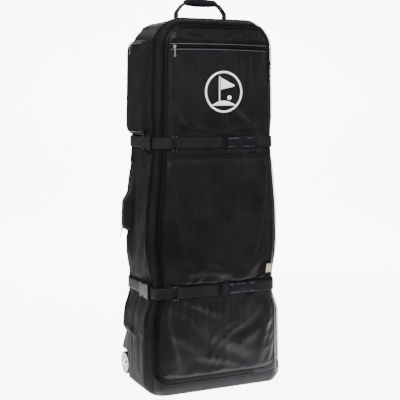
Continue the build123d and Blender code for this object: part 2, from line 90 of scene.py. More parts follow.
# ---- the case's form, read from the frame ----
boot_low, boot_high = box_mm("base_boot")
top_low, top_high = box_mm("top_panel")
HEIGHT = top_high.z
HALF_DEPTH = -boot_low.y
HALF_BASE = boot_high.x
HALF_TOP = HALF_BASE - 30 * MM
SLOPE = (HALF_BASE - HALF_TOP) / HEIGHT
CORNER_R = HEIGHT - top_low.z
EDGE_R = 45 * MM
LID_INSET = EDGE_R * (1 - math.cos(math.radians(45)))
lid_low, lid_high = box_mm("front_lid")
LID_BOTTOM = lid_low.z
LID_BOTTOM_R = 50 * MM
upper_low, upper_high = box_mm("upper_strap")
lower_low, lower_high = box_mm("lower_strap")
STRAPS = ((upper_low.z + upper_high.z) / 2, (lower_low.z + lower_high.z) / 2)
WEBBING = upper_high.z - upper_low.z
STRAP_PIVOT_Y = -88 * MM
POCKET_LOW, POCKET_HIGH = box_mm("front_pocket")
ZIP_LOW, ZIP_HIGH = box_mm("front_pocket_zip")

# ---- the camera: where it stands, how far it turns and looks down, and its lens in mm ----
CAMERA_PLACE = (-1.372, -2.940, 1.009)
CAMERA_YAW = math.radians(25)
CAMERA_PITCH = math.radians(6.35)
CAMERA_LENS = 82.35


def half_width(z):
    """Half the case's width at a height: it narrows towards the top."""
    return HALF_BASE - SLOPE * z


def outline(inset, bottom, steps):
    """Points (x, z) up the left side, over the top and down the right, inset from the edge."""
    radius = CORNER_R - inset
    top = HEIGHT - inset
    centre_x = half_width(top - radius) - inset - radius
    points = []
    z_arc = top - radius
    for i in range(steps[0]):
        z = bottom + (z_arc - bottom) * i / steps[0]
        points.append((-(half_width(z) - inset), z))
    for i in range(steps[1]):
        a = math.pi / 2 * i / steps[1]
        points.append((-(centre_x + radius * math.cos(a)), z_arc + radius * math.sin(a)))
    for i in range(steps[2] + 1):
        points.append((-centre_x + 2 * centre_x * i / steps[2], top))
    mirrored = [(-x, z) for x, z in points[: steps[0] + steps[1]]][::-1]
    return points + mirrored


def edge_y(inset):
    """How far the rounded edge stands from the middle at an inset from the side."""
    drop = EDGE_R - min(max(inset, 0.0), EDGE_R)
    return HALF_DEPTH - EDGE_R + math.sqrt(max(EDGE_R**2 - drop**2, 0.0))


def smooth(value, low, high):
    """0 below low, 1 above high, and an even S-curve between."""
    t = min(max((value - low) / (high - low), 0.0), 1.0)
    return t * t * (3 - 2 * t)


def swell(z):
    """How far the fabric stands out at a height: tucked under each strap, full between."""
    tuck = 1.0
    for strap in STRAPS:
        tuck *= smooth(abs(z - strap), WEBBING * 0.4, WEBBING * 3.2)
    foot = smooth(z, 0.0, 0.12)
    return (1.5 + 7.5 * tuck * (0.35 + 0.65 * foot)) * MM


def strapped(z):
    """Whether a height lies under one of the straps."""
    return any(abs(z - strap) < WEBBING * 0.45 for strap in STRAPS)


def clear_of_straps(z):
    """0 under a strap, rising to 1 just above and below it."""
    return min(smooth(abs(z - strap), WEBBING * 0.42, WEBBING * 0.85) for strap in STRAPS)


def under_pocket(z):
    """0 where the front pocket covers the lid, 1 away from it."""
    low = 1 - smooth(z, POCKET_LOW.z - 0.03, POCKET_LOW.z)
    return max(low, smooth(z, ZIP_HIGH.z, ZIP_HIGH.z + 0.02))


def lid_swell(z):
    """How far the lid stands out at a height: less where the pocket lies over it."""
    return swell(z) * (0.15 + 0.85 * under_pocket(z))


def fullness(point):
    """Move a point of the soft case outwards: the load fills it below and between the straps."""
    x, y, z = point
    upper, lower = STRAPS
    between = smooth(z, lower + 0.03, lower + 0.17) * (1 - smooth(z, upper - 0.28, upper - 0.03))
    below = smooth(z, 0.0, 0.02) * (1 - smooth(z, lower - 0.10, lower - 0.025))
    below *= 1 - smooth(y, 0.03, 0.08) * (1 - smooth(z, 0.16, 0.20))
    lip = (1 - smooth(z, 0.02, 0.09)) * (1 - smooth(y, 0.0, 0.07)) if x > 0 else 0.0
    if x < 0:
        between *= 1 - 0.6 * smooth(z, 0.50, 0.56) * smooth(y, 0.0, 0.05)
    side = smooth(abs(x) / half_width(z), 0.45, 1.0)
    move = (13 * between + 15 * below + 6 * lip) * side * MM
    return Vector((x + math.copysign(move, x), y, z))


# ---- mesh helpers ----
def link_piece(name, mesh, body, material=None, rounded=False):
    """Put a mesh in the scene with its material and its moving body."""
    if material:
        mesh.materials.append(material)
    if rounded:
        mesh.polygons.foreach_set("use_smooth", [True] * len(mesh.polygons))
    obj = bpy.data.objects.new(name, mesh)
    bpy.context.scene.collection.objects.link(obj)
    if body:
        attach(obj, body)
    return obj


def face_outward(mesh):
    """Join points that coincide and turn every face outward."""
    bm = bmesh.new()
    bm.from_mesh(mesh)
    bmesh.ops.remove_doubles(bm, verts=bm.verts, dist=1e-6)
    bmesh.ops.recalc_face_normals(bm, faces=bm.faces)
    bm.to_mesh(mesh)
    bm.free()


def mesh_object(name, verts, faces, material, body):
    """A smooth closed piece from points and faces, filled out with the case's load."""
    mesh = bpy.data.meshes.new(name)
    mesh.from_pydata([tuple(fullness(v)) for v in verts], [], faces)
    mesh.update()
    face_outward(mesh)
    return link_piece(name, mesh, body, material, rounded=True)


def double_layer(rows, cols):
    """Faces of two layers of a grid of rows x cols cells, closed along the rim."""
    line = cols + 1
    half = (rows + 1) * line
    faces = []
    for i in range(rows):
        for j in range(cols):
            a = i * line + j
            quad = (a, a + 1, a + line + 1, a + line)
            faces.append(quad)
            faces.append(tuple(half + k for k in reversed(quad)))
    ring = list(range(line)) + [i * line + cols for i in range(1, rows + 1)]
    ring += [rows * line + j for j in range(cols - 1, -1, -1)]
    ring += [i * line for i in range(rows - 1, 0, -1)]
    for a, b in zip(ring, ring[1:] + ring[:1]):
        faces.append((a, half + a, half + b, b))
    return faces


def sleeve_faces(rows, sides):
    """Faces of a closed tube: rings of points joined in turn, with both ends capped."""
    faces = []
    for i in range(rows - 1):
        for k in range(sides):
            n = (k + 1) % sides
            faces.append((i * sides + k, i * sides + n, (i + 1) * sides + n, (i + 1) * sides + k))
    faces.append(tuple(range(sides))[::-1])
    faces.append(tuple(range((rows - 1) * sides, rows * sides)))
    return faces


def grid_normals(grid):
    """Unit normals of a grid of points, from its differences along both ways."""
    du = np.gradient(grid, axis=0)
    dv = np.gradient(grid, axis=1)
    normal = np.cross(du, dv)
    size = np.linalg.norm(normal, axis=2, keepdims=True)
    return normal / np.maximum(size, 1e-12)


def settle(grid, pinned, frames=18, slack=0.012, sag=0.35, cap=7 * MM):
    """Drape a grid as cloth held at its pinned points, and cap how far it moves."""
    rows, cols = grid.shape[:2]
    faces = [
        (i * cols + j, i * cols + j + 1, (i + 1) * cols + j + 1, (i + 1) * cols + j)
        for i in range(rows - 1)
        for j in range(cols - 1)
    ]
    mesh = bpy.data.meshes.new("draping")
    mesh.from_pydata(grid.reshape(-1, 3).tolist(), [], faces)
    obj = bpy.data.objects.new("draping", mesh)
    bpy.context.scene.collection.objects.link(obj)
    group = obj.vertex_groups.new(name="held")
    group.add([int(k) for k in np.nonzero(pinned.reshape(-1))[0]], 1.0, "REPLACE")
    cloth = obj.modifiers.new("cloth", "CLOTH")
    cloth.settings.vertex_group_mass = "held"
    cloth.settings.quality = 5
    cloth.settings.mass = 0.3
    cloth.settings.tension_stiffness = 40
    cloth.settings.compression_stiffness = 40
    cloth.settings.bending_stiffness = 2.0
    cloth.settings.air_damping = 3
    cloth.settings.shrink_min = -slack
    cloth.settings.effector_weights.gravity = sag
    cloth.collision_settings.use_collision = False
    cloth.point_cache.frame_end = frames + 1
    scene = bpy.context.scene
    for step in range(1, frames + 1):
        scene.frame_set(step)
    settled = obj.evaluated_get(bpy.context.evaluated_depsgraph_get())
    out = np.empty(rows * cols * 3)
    settled.data.vertices.foreach_get("co", out)
    bpy.data.objects.remove(obj)
    scene.frame_set(1)
    moved = out.reshape(rows, cols, 3) - grid
    size = np.linalg.norm(moved, axis=2, keepdims=True)
    return grid + moved * np.minimum(1.0, cap / np.maximum(size, 1e-9))


# ---- materials ----
def linear(code):
    """An sRGB hex colour as a linear colour."""
    channels = [int(code[i : i + 2], 16) / 255 for i in (1, 3, 5)]
    return [
        c / 12.92 if c <= 0.04045 else ((c + 0.055) / 1.055) ** 2.4 for c in channels
    ] + [1.0]


def node(tree, kind, settings=None, links=None):
    """Add one shader node with its settings and links."""
    made = tree.nodes.new(kind)
    for key, value in (settings or {}).items():
        if isinstance(key, str) and hasattr(made, key) and key not in made.inputs:
            setattr(made, key, value)
        else:
            made.inputs[key].default_value = value
    for key, source in (links or {}).items():
        tree.links.new(source, made.inputs[key])
    return made


def start_material(name):
    """An empty node material and its Object coordinates."""
    material = bpy.data.materials.get(name) or bpy.data.materials.new(name)
    material.use_nodes = True
    tree = material.node_tree
    tree.nodes.clear()
    place = node(tree, "ShaderNodeTexCoord").outputs["Object"]
    return material, tree, place


def end_material(tree, settings, links):
    """Close a material with a Principled shader and its output."""
    shader = node(tree, "ShaderNodeBsdfPrincipled", settings, links)
    node(tree, "ShaderNodeOutputMaterial", None, {"Surface": shader.outputs["BSDF"]})


def woven(name, dark, light, thread_mm, roughness, sheen, depth, sheen_tint="#8a8490"):
    """Woven nylon or polyester: crossed threads, slubs and a soft sheen at grazing angles."""
    material, tree, place = start_material(name)
    scale = 2 * math.pi / 20 / (2 * thread_mm * MM)
    waves = []
    for axis in ("X", "Y", "Z"):
        wave = node(
            tree,
            "ShaderNodeTexWave",
            {"wave_type": "BANDS", "bands_direction": axis, "Scale": scale, "Distortion": 0.4},
            {"Vector": place},
        )
        waves.append(wave.outputs["Fac"])
    first = node(tree, "ShaderNodeMath", {"operation": "MULTIPLY"}, {0: waves[0], 1: waves[2]})
    weave = node(
        tree, "ShaderNodeMath", {"operation": "MAXIMUM"}, {0: first.outputs[0], 1: waves[1]}
    )
    slub = node(tree, "ShaderNodeTexNoise", {"Scale": 9.0, "Detail": 4.0}, {"Vector": place})
    grain = node(tree, "ShaderNodeTexNoise", {"Scale": 900.0, "Detail": 2.0}, {"Vector": place})
    tone = node(
        tree, "ShaderNodeMath", {"operation": "MULTIPLY"},
        {0: slub.outputs["Fac"], 1: grain.outputs["Fac"]},
    )
    colour = node(tree, "ShaderNodeValToRGB", None, {"Fac": tone.outputs[0]})
    colour.color_ramp.elements[0].position = 0.14
    colour.color_ramp.elements[0].color = linear(dark)
    colour.color_ramp.elements[1].position = 0.36
    colour.color_ramp.elements[1].color = linear(light)
    bump = node(
        tree, "ShaderNodeBump", {"Strength": depth, "Distance": 0.0004},
        {"Height": weave.outputs[0]},
    )
    rough = node(
        tree, "ShaderNodeMapRange",
        {"To Min": roughness - 0.07, "To Max": roughness + 0.07},
        {"Value": slub.outputs["Fac"]},
    )
    end_material(
        tree,
        {
            "Sheen Weight": sheen,
            "Sheen Roughness": 0.45,
            "Sheen Tint": linear(sheen_tint),
            "Specular IOR Level": 0.09,
        },
        {
            "Base Color": colour.outputs["Color"],
            "Roughness": rough.outputs["Result"],
            "Normal": bump.outputs["Normal"],
        },
    )
    return material


def moulded(name, base, light, roughness, grain_mm, depth=0.25):
    """Moulded plastic or rubber with a fine spark-eroded grain."""
    material, tree, place = start_material(name)
    grain = node(
        tree, "ShaderNodeTexNoise", {"Scale": 1 / (grain_mm * MM), "Detail": 3.0}, {"Vector": place}
    )
    wear = node(tree, "ShaderNodeTexNoise", {"Scale": 40.0, "Detail": 3.0}, {"Vector": place})
    colour = node(tree, "ShaderNodeValToRGB", None, {"Fac": wear.outputs["Fac"]})
    colour.color_ramp.elements[0].position = 0.35
    colour.color_ramp.elements[0].color = linear(base)
    colour.color_ramp.elements[1].position = 0.75
    colour.color_ramp.elements[1].color = linear(light)
    bump = node(
        tree, "ShaderNodeBump", {"Strength": depth, "Distance": 0.0003},
        {"Height": grain.outputs["Fac"]},
    )
    rough = node(
        tree, "ShaderNodeMapRange", {"To Min": roughness - 0.05, "To Max": roughness + 0.1},
        {"Value": wear.outputs["Fac"]},
    )
    end_material(
        tree,
        {"IOR": 1.49, "Specular IOR Level": 0.25},
        {
            "Base Color": colour.outputs["Color"],
            "Roughness": rough.outputs["Result"],
            "Normal": bump.outputs["Normal"],
        },
    )
    return material


def plated(name, base, light, roughness):
    """Plated or painted metal with faint handling marks."""
    material, tree, place = start_material(name)
    marks = node(tree, "ShaderNodeTexNoise", {"Scale": 300.0, "Detail": 4.0}, {"Vector": place})
    colour = node(tree, "ShaderNodeValToRGB", None, {"Fac": marks.outputs["Fac"]})
    colour.color_ramp.elements[0].color = linear(base)
    colour.color_ramp.elements[1].color = linear(light)
    rough = node(
        tree, "ShaderNodeMapRange", {"To Min": roughness - 0.06, "To Max": roughness + 0.08},
        {"Value": marks.outputs["Fac"]},
    )
    end_material(
        tree,
        {"Metallic": 0.9},
        {"Base Color": colour.outputs["Color"], "Roughness": rough.outputs["Result"]},
    )
    return material


# ---- folds pressed into the fabric ----
# each fold: (x, z) of its two ends, its half width and its height, on the front of the lid
FOLDS = (
    ((-0.16, 0.31), (-0.04, 0.19), 0.016, 5.0),
    ((-0.12, 0.32), (0.02, 0.25), 0.013, 3.5),
    ((-0.17, 0.22), (-0.05, 0.12), 0.018, 4.5),
    ((-0.02, 0.20), (0.13, 0.11), 0.020, 4.0),
    ((0.20, 0.24), (0.06, 0.15), 0.018, 3.5),
    ((-0.10, 0.13), (0.10, 0.075), 0.014, 3.0),
    ((-0.17, 0.455), (-0.06, 0.40), 0.014, 4.0),
    ((-0.09, 0.44), (0.06, 0.395), 0.015, 4.5),
    ((0.18, 0.47), (0.06, 0.39), 0.016, 4.0),
    ((-0.15, 0.66), (0.00, 0.52), 0.026, 3.5),
    ((0.17, 0.70), (0.02, 0.60), 0.028, 3.0),
    ((-0.15, 0.93), (-0.04, 0.885), 0.012, 4.0),
    ((0.03, 0.885), (0.13, 0.915), 0.012, 5.0),
    ((0.15, 0.90), (0.05, 0.97), 0.014, 3.5),
    ((-0.12, 1.235), (-0.03, 1.20), 0.010, 4.0),
    ((-0.15, 1.21), (-0.08, 1.195), 0.008, 3.0),
    ((0.02, 1.235), (0.05, 1.20), 0.010, 3.0),
    ((0.10, 1.235), (0.12, 1.195), 0.012, 3.0),
)


def fold_height(x, z):
    """Height of the pressed folds at a place on the front, in metres."""
    total = 0.0
    for (ax, az), (bx, bz), width, height in FOLDS:
        dx, dz = bx - ax, bz - az
        t = ((x - ax) * dx + (z - az) * dz) / (dx * dx + dz * dz)
        fade = smooth(t, -0.15, 0.3) * (1 - smooth(t, 0.65, 1.15))
        across = ((x - ax) * dz - (z - az) * dx) / math.hypot(dx, dz)
        bend = across + 0.006 * math.sin(3 * t)
        ridge = math.exp(-((bend / width) ** 2))
        valley = math.exp(-(((bend - 1.6 * width) / width) ** 2))
        total += 1.15 * height * fade * (ridge - 0.8 * valley)
    return total * MM


def gathers(along, z, seed):
    """Small upright puckers where a strap or a seam draws the fabric in."""
    total = 0.0
    for strap in STRAPS:
        near = math.exp(-(((abs(z - strap) - WEBBING * 0.75) / (WEBBING * 0.8)) ** 2))
        wave = noise.noise(Vector((along * 28, z * 9, seed + strap)))
        total += 6.5 * near * wave
    seam = math.exp(-(((z - POCKET_LOW.z + 0.012) / 0.016) ** 2))
    total += 3.2 * seam * noise.noise(Vector((along * 60, z * 10, seed)))
    slow = noise.noise(Vector((along * 7, z * 3.5, seed + 3)))
    return (total + 2.4 * slow + creases(along, z, seed)) * MM


def creases(along, z, seed):
    """Sharp slanting creases, strongest just under and over each strap, in millimetres."""
    total = 0.0
    for k, slant in enumerate((0.55, -0.75)):
        u = along * math.cos(slant) + z * math.sin(slant)
        v = z * math.cos(slant) - along * math.sin(slant)
        drift = 0.35 * noise.noise(Vector((along * 5, z * 5, seed + k)))
        ridge = 1 - abs(2.2 * noise.noise(Vector((u * 5, v * 26 + drift * 5, seed + 4 * k))))
        patch = smooth(noise.noise(Vector((along * 6, z * 5, seed + 9 + k))), -0.05, 0.35)
        total += 2.4 * patch * max(ridge, 0.0) ** 3
    near = max(math.exp(-((abs(z - strap) / 0.13) ** 2)) for strap in STRAPS)
    foot = math.exp(-((z - 0.13) / 0.12) ** 2)
    return total * (0.35 + 0.9 * near + 0.5 * foot)


def lid_point(x, z, lift=0.0):
    """A point on the front of the lid: flat in the middle, rolling back at its edge."""
    side = half_width(z) - abs(x)
    top = HEIGHT - z
    if z > HEIGHT - CORNER_R:
        cx = half_width(HEIGHT - CORNER_R) - CORNER_R
        dx = abs(x) - cx
        if dx > 0:
            side = CORNER_R - math.hypot(dx, z - (HEIGHT - CORNER_R))
        else:
            side = top
    inset = min(side, top)
    y = edge_y(inset)
    turn = min(max((EDGE_R - inset) / EDGE_R, 0.0), 1.0)
    out = math.asin(turn)
    roll = math.sin(out) * lift * (1 if x > 0 else -1)
    return x + roll, -(y + lift * math.cos(out)), z


def lid_rows(bottom, top, rows, cols, inset, bottom_r):
    """Rows of (x, z) that fill the lid's rounded outline, evenly spaced across."""
    places = []
    corner = CORNER_R - inset
    for i in range(rows):
        z = bottom + (top - bottom) * i / (rows - 1)
        reach = half_width(z) - inset
        if z > HEIGHT - CORNER_R:
            centre = half_width(HEIGHT - CORNER_R) - CORNER_R
            reach = centre + math.sqrt(max(corner**2 - (z - HEIGHT + CORNER_R) ** 2, 0))
        if z < bottom + bottom_r:
            drop = bottom + bottom_r - z
            reach -= bottom_r - math.sqrt(max(bottom_r**2 - drop**2, 0))
        places.append([(reach * (2 * j / (cols - 1) - 1), z) for j in range(cols)])
    return places


def shell(name, outer, inward, thickness, material, body, keep=None):
    """A closed panel from a grid of points, leaving out the cells that keep marks false."""
    rows, cols = outer.shape[:2]
    inner = outer + inward * thickness
    verts = np.concatenate([outer.reshape(-1, 3), inner.reshape(-1, 3)])
    half = rows * cols
    faces = []
    edges = {}
    for i in range(rows - 1):
        for j in range(cols - 1):
            if keep is not None and not keep[i, j]:
                continue
            a = i * cols + j
            quad = (a, a + 1, a + cols + 1, a + cols)
            faces.append(quad)
            faces.append(tuple(half + k for k in reversed(quad)))
            for k in range(4):
                pair = (quad[k], quad[(k + 1) % 4])
                if (pair[1], pair[0]) in edges:
                    del edges[(pair[1], pair[0])]
                else:
                    edges[pair] = True
    for a, b in edges:
        faces.append((a, half + a, half + b, b))
    used = sorted({k for face in faces for k in face})
    index = {k: n for n, k in enumerate(used)}
    faces = [tuple(index[k] for k in face) for face in faces]
    return mesh_object(name, verts[used], faces, material, body)


def edge_fade(inset):
    """Fabric is drawn tight at the parting seam and full beyond it."""
    return smooth(inset, LID_INSET, LID_INSET + 0.030)


def gusset_grid(steps, bottom):
    """Points and outward directions of the band up the left, over the top, down the right."""
    angles = [math.radians(45 - 9 * k) for k in range(5)]
    straight = np.linspace(-(HALF_DEPTH - EDGE_R), HALF_DEPTH - EDGE_R, 30)
    section = []
    for a in angles:
        section.append((EDGE_R * (1 - math.cos(a)), -(HALF_DEPTH - EDGE_R + EDGE_R * math.sin(a)),
                        math.cos(a), -math.sin(a)))
    for y in straight:
        section.append((0.0, y, 1.0, 0.0))
    for a in angles[::-1]:
        section.append((EDGE_R * (1 - math.cos(a)), HALF_DEPTH - EDGE_R + EDGE_R * math.sin(a),
                        math.cos(a), math.sin(a)))
    tracks = {}
    for inset, _, _, _ in section:
        tracks[inset] = outline(inset, bottom, steps)
    rim = np.array(outline(0.0, bottom, steps))
    inside = np.array(outline(0.001, bottom, steps))
    away = rim - inside
    away /= np.linalg.norm(away, axis=1, keepdims=True)
    points = np.zeros((len(rim), len(section), 3))
    normals = np.zeros_like(points)
    for j, (inset, y, out, turn) in enumerate(section):
        track = np.array(tracks[inset])
        points[:, j, 0] = track[:, 0]
        points[:, j, 1] = y
        points[:, j, 2] = track[:, 1]
        normals[:, j, 0] = away[:, 0] * out
        normals[:, j, 1] = turn
        normals[:, j, 2] = away[:, 1] * out
    return points, normals


# ---- paths, tubes, repeats and pouches ----
def lid_edge(offset, part, step=0.006):
    """Points (x, z) along the lid's edge, moved outwards by an offset, for the zip or the hinge."""
    inset = LID_INSET - offset
    z_arc = HEIGHT - CORNER_R
    radius = CORNER_R - inset
    centre = half_width(z_arc) - CORNER_R
    low = LID_BOTTOM - offset
    low_r = LID_BOTTOM_R + offset
    z_low = low + low_r
    count = int((z_arc - z_low) / step)
    right = [(half_width(z) - inset, z) for z in np.linspace(z_low, z_arc, count)]
    arc = [(centre + radius * math.cos(a), z_arc + radius * math.sin(a))
           for a in np.linspace(0, math.pi / 2, 22)]
    top = [(x, HEIGHT - inset) for x in np.linspace(centre, -centre, 40)]
    foot = half_width(z_low) - inset - low_r
    curl = [(-foot - low_r * math.cos(a), z_low - low_r * math.sin(a))
            for a in np.linspace(0, math.pi / 2, 14)]
    base = [(x, low) for x in np.linspace(-foot, foot, 60)]
    left = [(-x, z) for x, z in right[::-1]]
    left_arc = [(-x, z) for x, z in arc[::-1]]
    ring = right + arc[1:] + top[1:] + left_arc[1:] + left[1:] + curl[1:] + base[1:]
    ring += [(-x, z) for x, z in curl[::-1][1:]]
    stub = HEIGHT - 210 * MM
    end = half_width(0) - EDGE_R - LID_BOTTOM_R
    first = next(k for k, p in enumerate(ring) if p[1] > stub)
    last = max(k for k, p in enumerate(ring) if p[0] < end and p[1] < LID_BOTTOM + 0.03)
    if part == "zip":
        return ring[first : last + 1]
    return ring[last:] + ring[:first]


def on_front(places, lift):
    """Places (x, z) as points on the case's front, lifted off it."""
    return [Vector(lid_point(x, z, lift)) for x, z in places]


def tube(name, points, radius, material, body, sides=8):
    """A closed round cord that follows points."""
    verts = []
    points = [Vector(p) for p in points]
    side = None
    for k, point in enumerate(points):
        ahead = points[min(k + 1, len(points) - 1)] - points[max(k - 1, 0)]
        ahead.normalize()
        if side is None:
            side = ahead.orthogonal().normalized()
        side = (side - ahead * side.dot(ahead)).normalized()
        up = ahead.cross(side)
        for n in range(sides):
            a = 2 * math.pi * n / sides
            verts.append(point + side * radius * math.cos(a) + up * radius * math.sin(a))
    faces = sleeve_faces(len(points), sides)
    return mesh_object(name, verts, faces, material, body)


def band(name, first, second, thickness, material, body, slot, between=3, crown=0.0):
    """A tape between two rows of points, with an even thickness and a slight crown."""
    rows = len(first)
    grid = np.zeros((rows, between, 3))
    for j in range(between):
        t = j / (between - 1)
        for i in range(rows):
            grid[i, j] = first[i].lerp(second[i], t)
    normal = grid_normals(grid)
    middle = grid.reshape(-1, 3).mean(axis=0)
    if ((grid - np.array([0, 0, middle[2]])) * normal)[..., :2].sum() < 0:
        normal = -normal
    for j in range(between):
        t = j / (between - 1)
        grid[:, j] += normal[:, j] * crown * 4 * t * (1 - t)
    return shell(name, grid, -normal, thickness, material, body)


def repeat_tree():
    """Node group that sets one small block at even steps along a line."""
    name = "Repeat along a line"
    if name in bpy.data.node_groups:
        return bpy.data.node_groups[name]
    tree = bpy.data.node_groups.new(name, "GeometryNodeTree")
    face = tree.interface
    face.new_socket("Geometry", in_out="OUTPUT", socket_type="NodeSocketGeometry")
    face.new_socket("Geometry", in_out="INPUT", socket_type="NodeSocketGeometry")
    face.new_socket("Pitch", in_out="INPUT", socket_type="NodeSocketFloat")
    face.new_socket("Block", in_out="INPUT", socket_type="NodeSocketVector")
    face.new_socket("Material", in_out="INPUT", socket_type="NodeSocketMaterial")
    inside = tree.nodes.new("NodeGroupInput").outputs
    line = node(tree, "GeometryNodeMeshToCurve", None, {"Mesh": inside["Geometry"]})
    steps = node(tree, "GeometryNodeResampleCurve", {"mode": "LENGTH"},
                 {"Curve": line.outputs["Curve"], "Length": inside["Pitch"]})
    along = node(tree, "GeometryNodeInputTangent")
    turn = node(tree, "FunctionNodeAlignRotationToVector", {"axis": "X"},
                {"Vector": along.outputs["Tangent"]})
    block = node(tree, "GeometryNodeMeshCube", None, {"Size": inside["Block"]})
    copies = node(tree, "GeometryNodeInstanceOnPoints", None,
                  {"Points": steps.outputs["Curve"], "Instance": block.outputs["Mesh"],
                   "Rotation": turn.outputs["Rotation"]})
    real = node(tree, "GeometryNodeRealizeInstances", None,
                {"Geometry": copies.outputs["Instances"]})
    painted = node(tree, "GeometryNodeSetMaterial", None,
                   {"Geometry": real.outputs["Geometry"], "Material": inside["Material"]})
    node(tree, "NodeGroupOutput", None, {0: painted.outputs["Geometry"]})
    return tree


def repeated(name, lines, pitch, block, material, body):
    """Small blocks, such as stitches or zip teeth, at even steps along one or more lines."""
    verts = []
    edges = []
    for line in lines:
        start = len(verts)
        verts += [fullness(p) for p in line]
        edges += [(start + k, start + k + 1) for k in range(len(line) - 1)]
    mesh = bpy.data.meshes.new(name + "_lines")
    mesh.from_pydata(verts, edges, [])
    lines_obj = bpy.data.objects.new(name + "_lines", mesh)
    bpy.context.scene.collection.objects.link(lines_obj)
    modifier = lines_obj.modifiers.new("repeat", "NODES")
    tree = repeat_tree()
    modifier.node_group = tree
    values = {"Pitch": pitch, "Block": block, "Material": material}
    for item in tree.interface.items_tree:
        if item.in_out == "INPUT" and item.name in values:
            modifier[item.identifier] = values[item.name]
    result = bpy.data.meshes.new_from_object(
        lines_obj.evaluated_get(bpy.context.evaluated_depsgraph_get())
    )
    bpy.data.objects.remove(lines_obj)
    result.name = name
    return link_piece(name, result, body)


def stitched(name, seam, gap, width, height, body, thread="Zip tape, polyester"):
    """Stitches along a seam; gap is their spacing in stitch lengths."""
    block = (sizes().stitch, width, height)
    return repeated(name, [seam], sizes().stitch * gap, block, fabrics()[thread], body)


def on_side(y, z, lift, side=-1):
    """A point on a side wall."""
    return Vector((side * (half_width(z) + lift), y, z))


def girth(z, off, start, end, front=True, step=0.008, seed=0.0):
    """Points round the case at one height, from y start on the right to y end on the left."""
    turn = -1 if front else 1
    side = half_width(z) + off
    depth = HALF_DEPTH + off
    radius = EDGE_R + off
    knee = turn * (depth - radius)
    plan = [(side, y) for y in np.linspace(start, knee, max(int(abs(start - knee) / step), 2))]
    for a in np.linspace(0, math.pi / 2, 10)[1:]:
        plan.append((side - radius + radius * math.cos(a), knee + turn * radius * math.sin(a)))
    flat = side - radius
    plan += [(x, turn * depth) for x in np.linspace(flat, -flat, int(2 * flat / step))[1:]]
    for a in np.linspace(math.pi / 2, 0, 10)[1:]:
        plan.append((-side + radius - radius * math.cos(a), knee + turn * radius * math.sin(a)))
    count = max(int(abs(end - knee) / step), 2)
    plan += [(-side, y) for y in np.linspace(knee, end, count)[1:]]
    wave = 1.2 * MM
    return [
        Vector((x, y, z + wave * noise.noise(Vector((x * 9, y * 9, seed))))) for x, y in plan
    ]


def dots(name, places, radius, material, body):
    """Small round rivets or bead ends."""
    bm = bmesh.new()
    for place in places:
        made = bmesh.ops.create_icosphere(bm, subdivisions=2, radius=radius)
        bmesh.ops.translate(bm, verts=made["verts"], vec=place)
    mesh = bpy.data.meshes.new(name)
    bm.to_mesh(mesh)
    bm.free()
    return link_piece(name, mesh, body, material, rounded=True)


def pillow(name, low, high, face, crown, material, body, wobble=0.0, steps=(24, 16)):
    """A soft rounded block that fills a box and crowns out on one face.

    face is the axis and side that crowns, such as (1, -1) for the front.
    """
    axis, sign = face
    others = [k for k in range(3) if k != axis]
    low, high = Vector(low), Vector(high)
    size = high - low
    rim = min(size[others[0]], size[others[1]], 2 * size[axis]) * 0.5
    verts = []
    rows, cols = steps
    for layer in (1, 0):
        for i in range(rows + 1):
            for j in range(cols + 1):
                u, v = 2 * i / rows - 1, 2 * j / cols - 1
                point = Vector((0, 0, 0))
                point[others[0]] = low[others[0]] + size[others[0]] * (u + 1) / 2
                point[others[1]] = low[others[1]] + size[others[1]] * (v + 1) / 2
                to_edge = min((1 - abs(u)) * size[others[0]], (1 - abs(v)) * size[others[1]]) / 2
                round_off = math.sqrt(max(1 - (1 - min(to_edge / rim, 1)) ** 2, 0))
                full = size[axis] * (0.45 + 0.55 * round_off) + crown * (1 - u * u) * (1 - v * v)
                full += wobble * noise.noise(point * 60) * round_off
                start = high[axis] if sign < 0 else low[axis]
                point[axis] = start + sign * full * layer
                verts.append(point)
    return mesh_object(name, verts, double_layer(rows, cols), material, body)


def side_pouch_mesh(name, low_y, high_y, low_z, high_z, depth, material, body,
                    side=-1, rows=60, cols=40, sag=0.0):
    """A soft pouch on a side wall: crowned, round-cornered, fuller towards its foot."""
    verts = []
    mid_y, mid_z = (low_y + high_y) / 2, (low_z + high_z) / 2
    half_y, half_z = (high_y - low_y) / 2, (high_z - low_z) / 2
    corner = 0.030
    for i in range(rows + 1):
        for j in range(cols + 1):
            v = 2 * i / rows - 1
            u = 2 * j / cols - 1
            y, z = u * half_y, v * half_z
            over_y = max(abs(y) - half_y + corner, 0)
            over_z = max(abs(z) - half_z + corner, 0)
            reach = math.hypot(over_y, over_z)
            if over_y > 0 and over_z > 0 and reach > corner:
                y -= math.copysign(over_y * (1 - corner / reach), y)
                z -= math.copysign(over_z * (1 - corner / reach), z)
            over_y = max(abs(y) - half_y + corner, 0)
            over_z = max(abs(z) - half_z + corner, 0)
            rim = corner - math.hypot(over_y, over_z)
            place_z = mid_z + z
            full = depth(place_z)
            profile = min(max(rim / max(full * 0.9, 6 * MM), 0), 1)
            rise = math.sqrt(max(1 - (1 - profile) ** 2, 0))
            wave = 1.5 * MM * noise.noise(Vector((y * 22, place_z * 12, 3.3)))
            lift = 0.001 + full * rise + wave * rise + sag * (1 - v * v) * rise
            verts.append(on_side(mid_y + y, place_z, lift, side))
    verts += [Vector((side * (half_width(v.z) - 0.001), v.y, v.z)) for v in verts]
    return mesh_object(name, verts, double_layer(rows, cols), material, body)


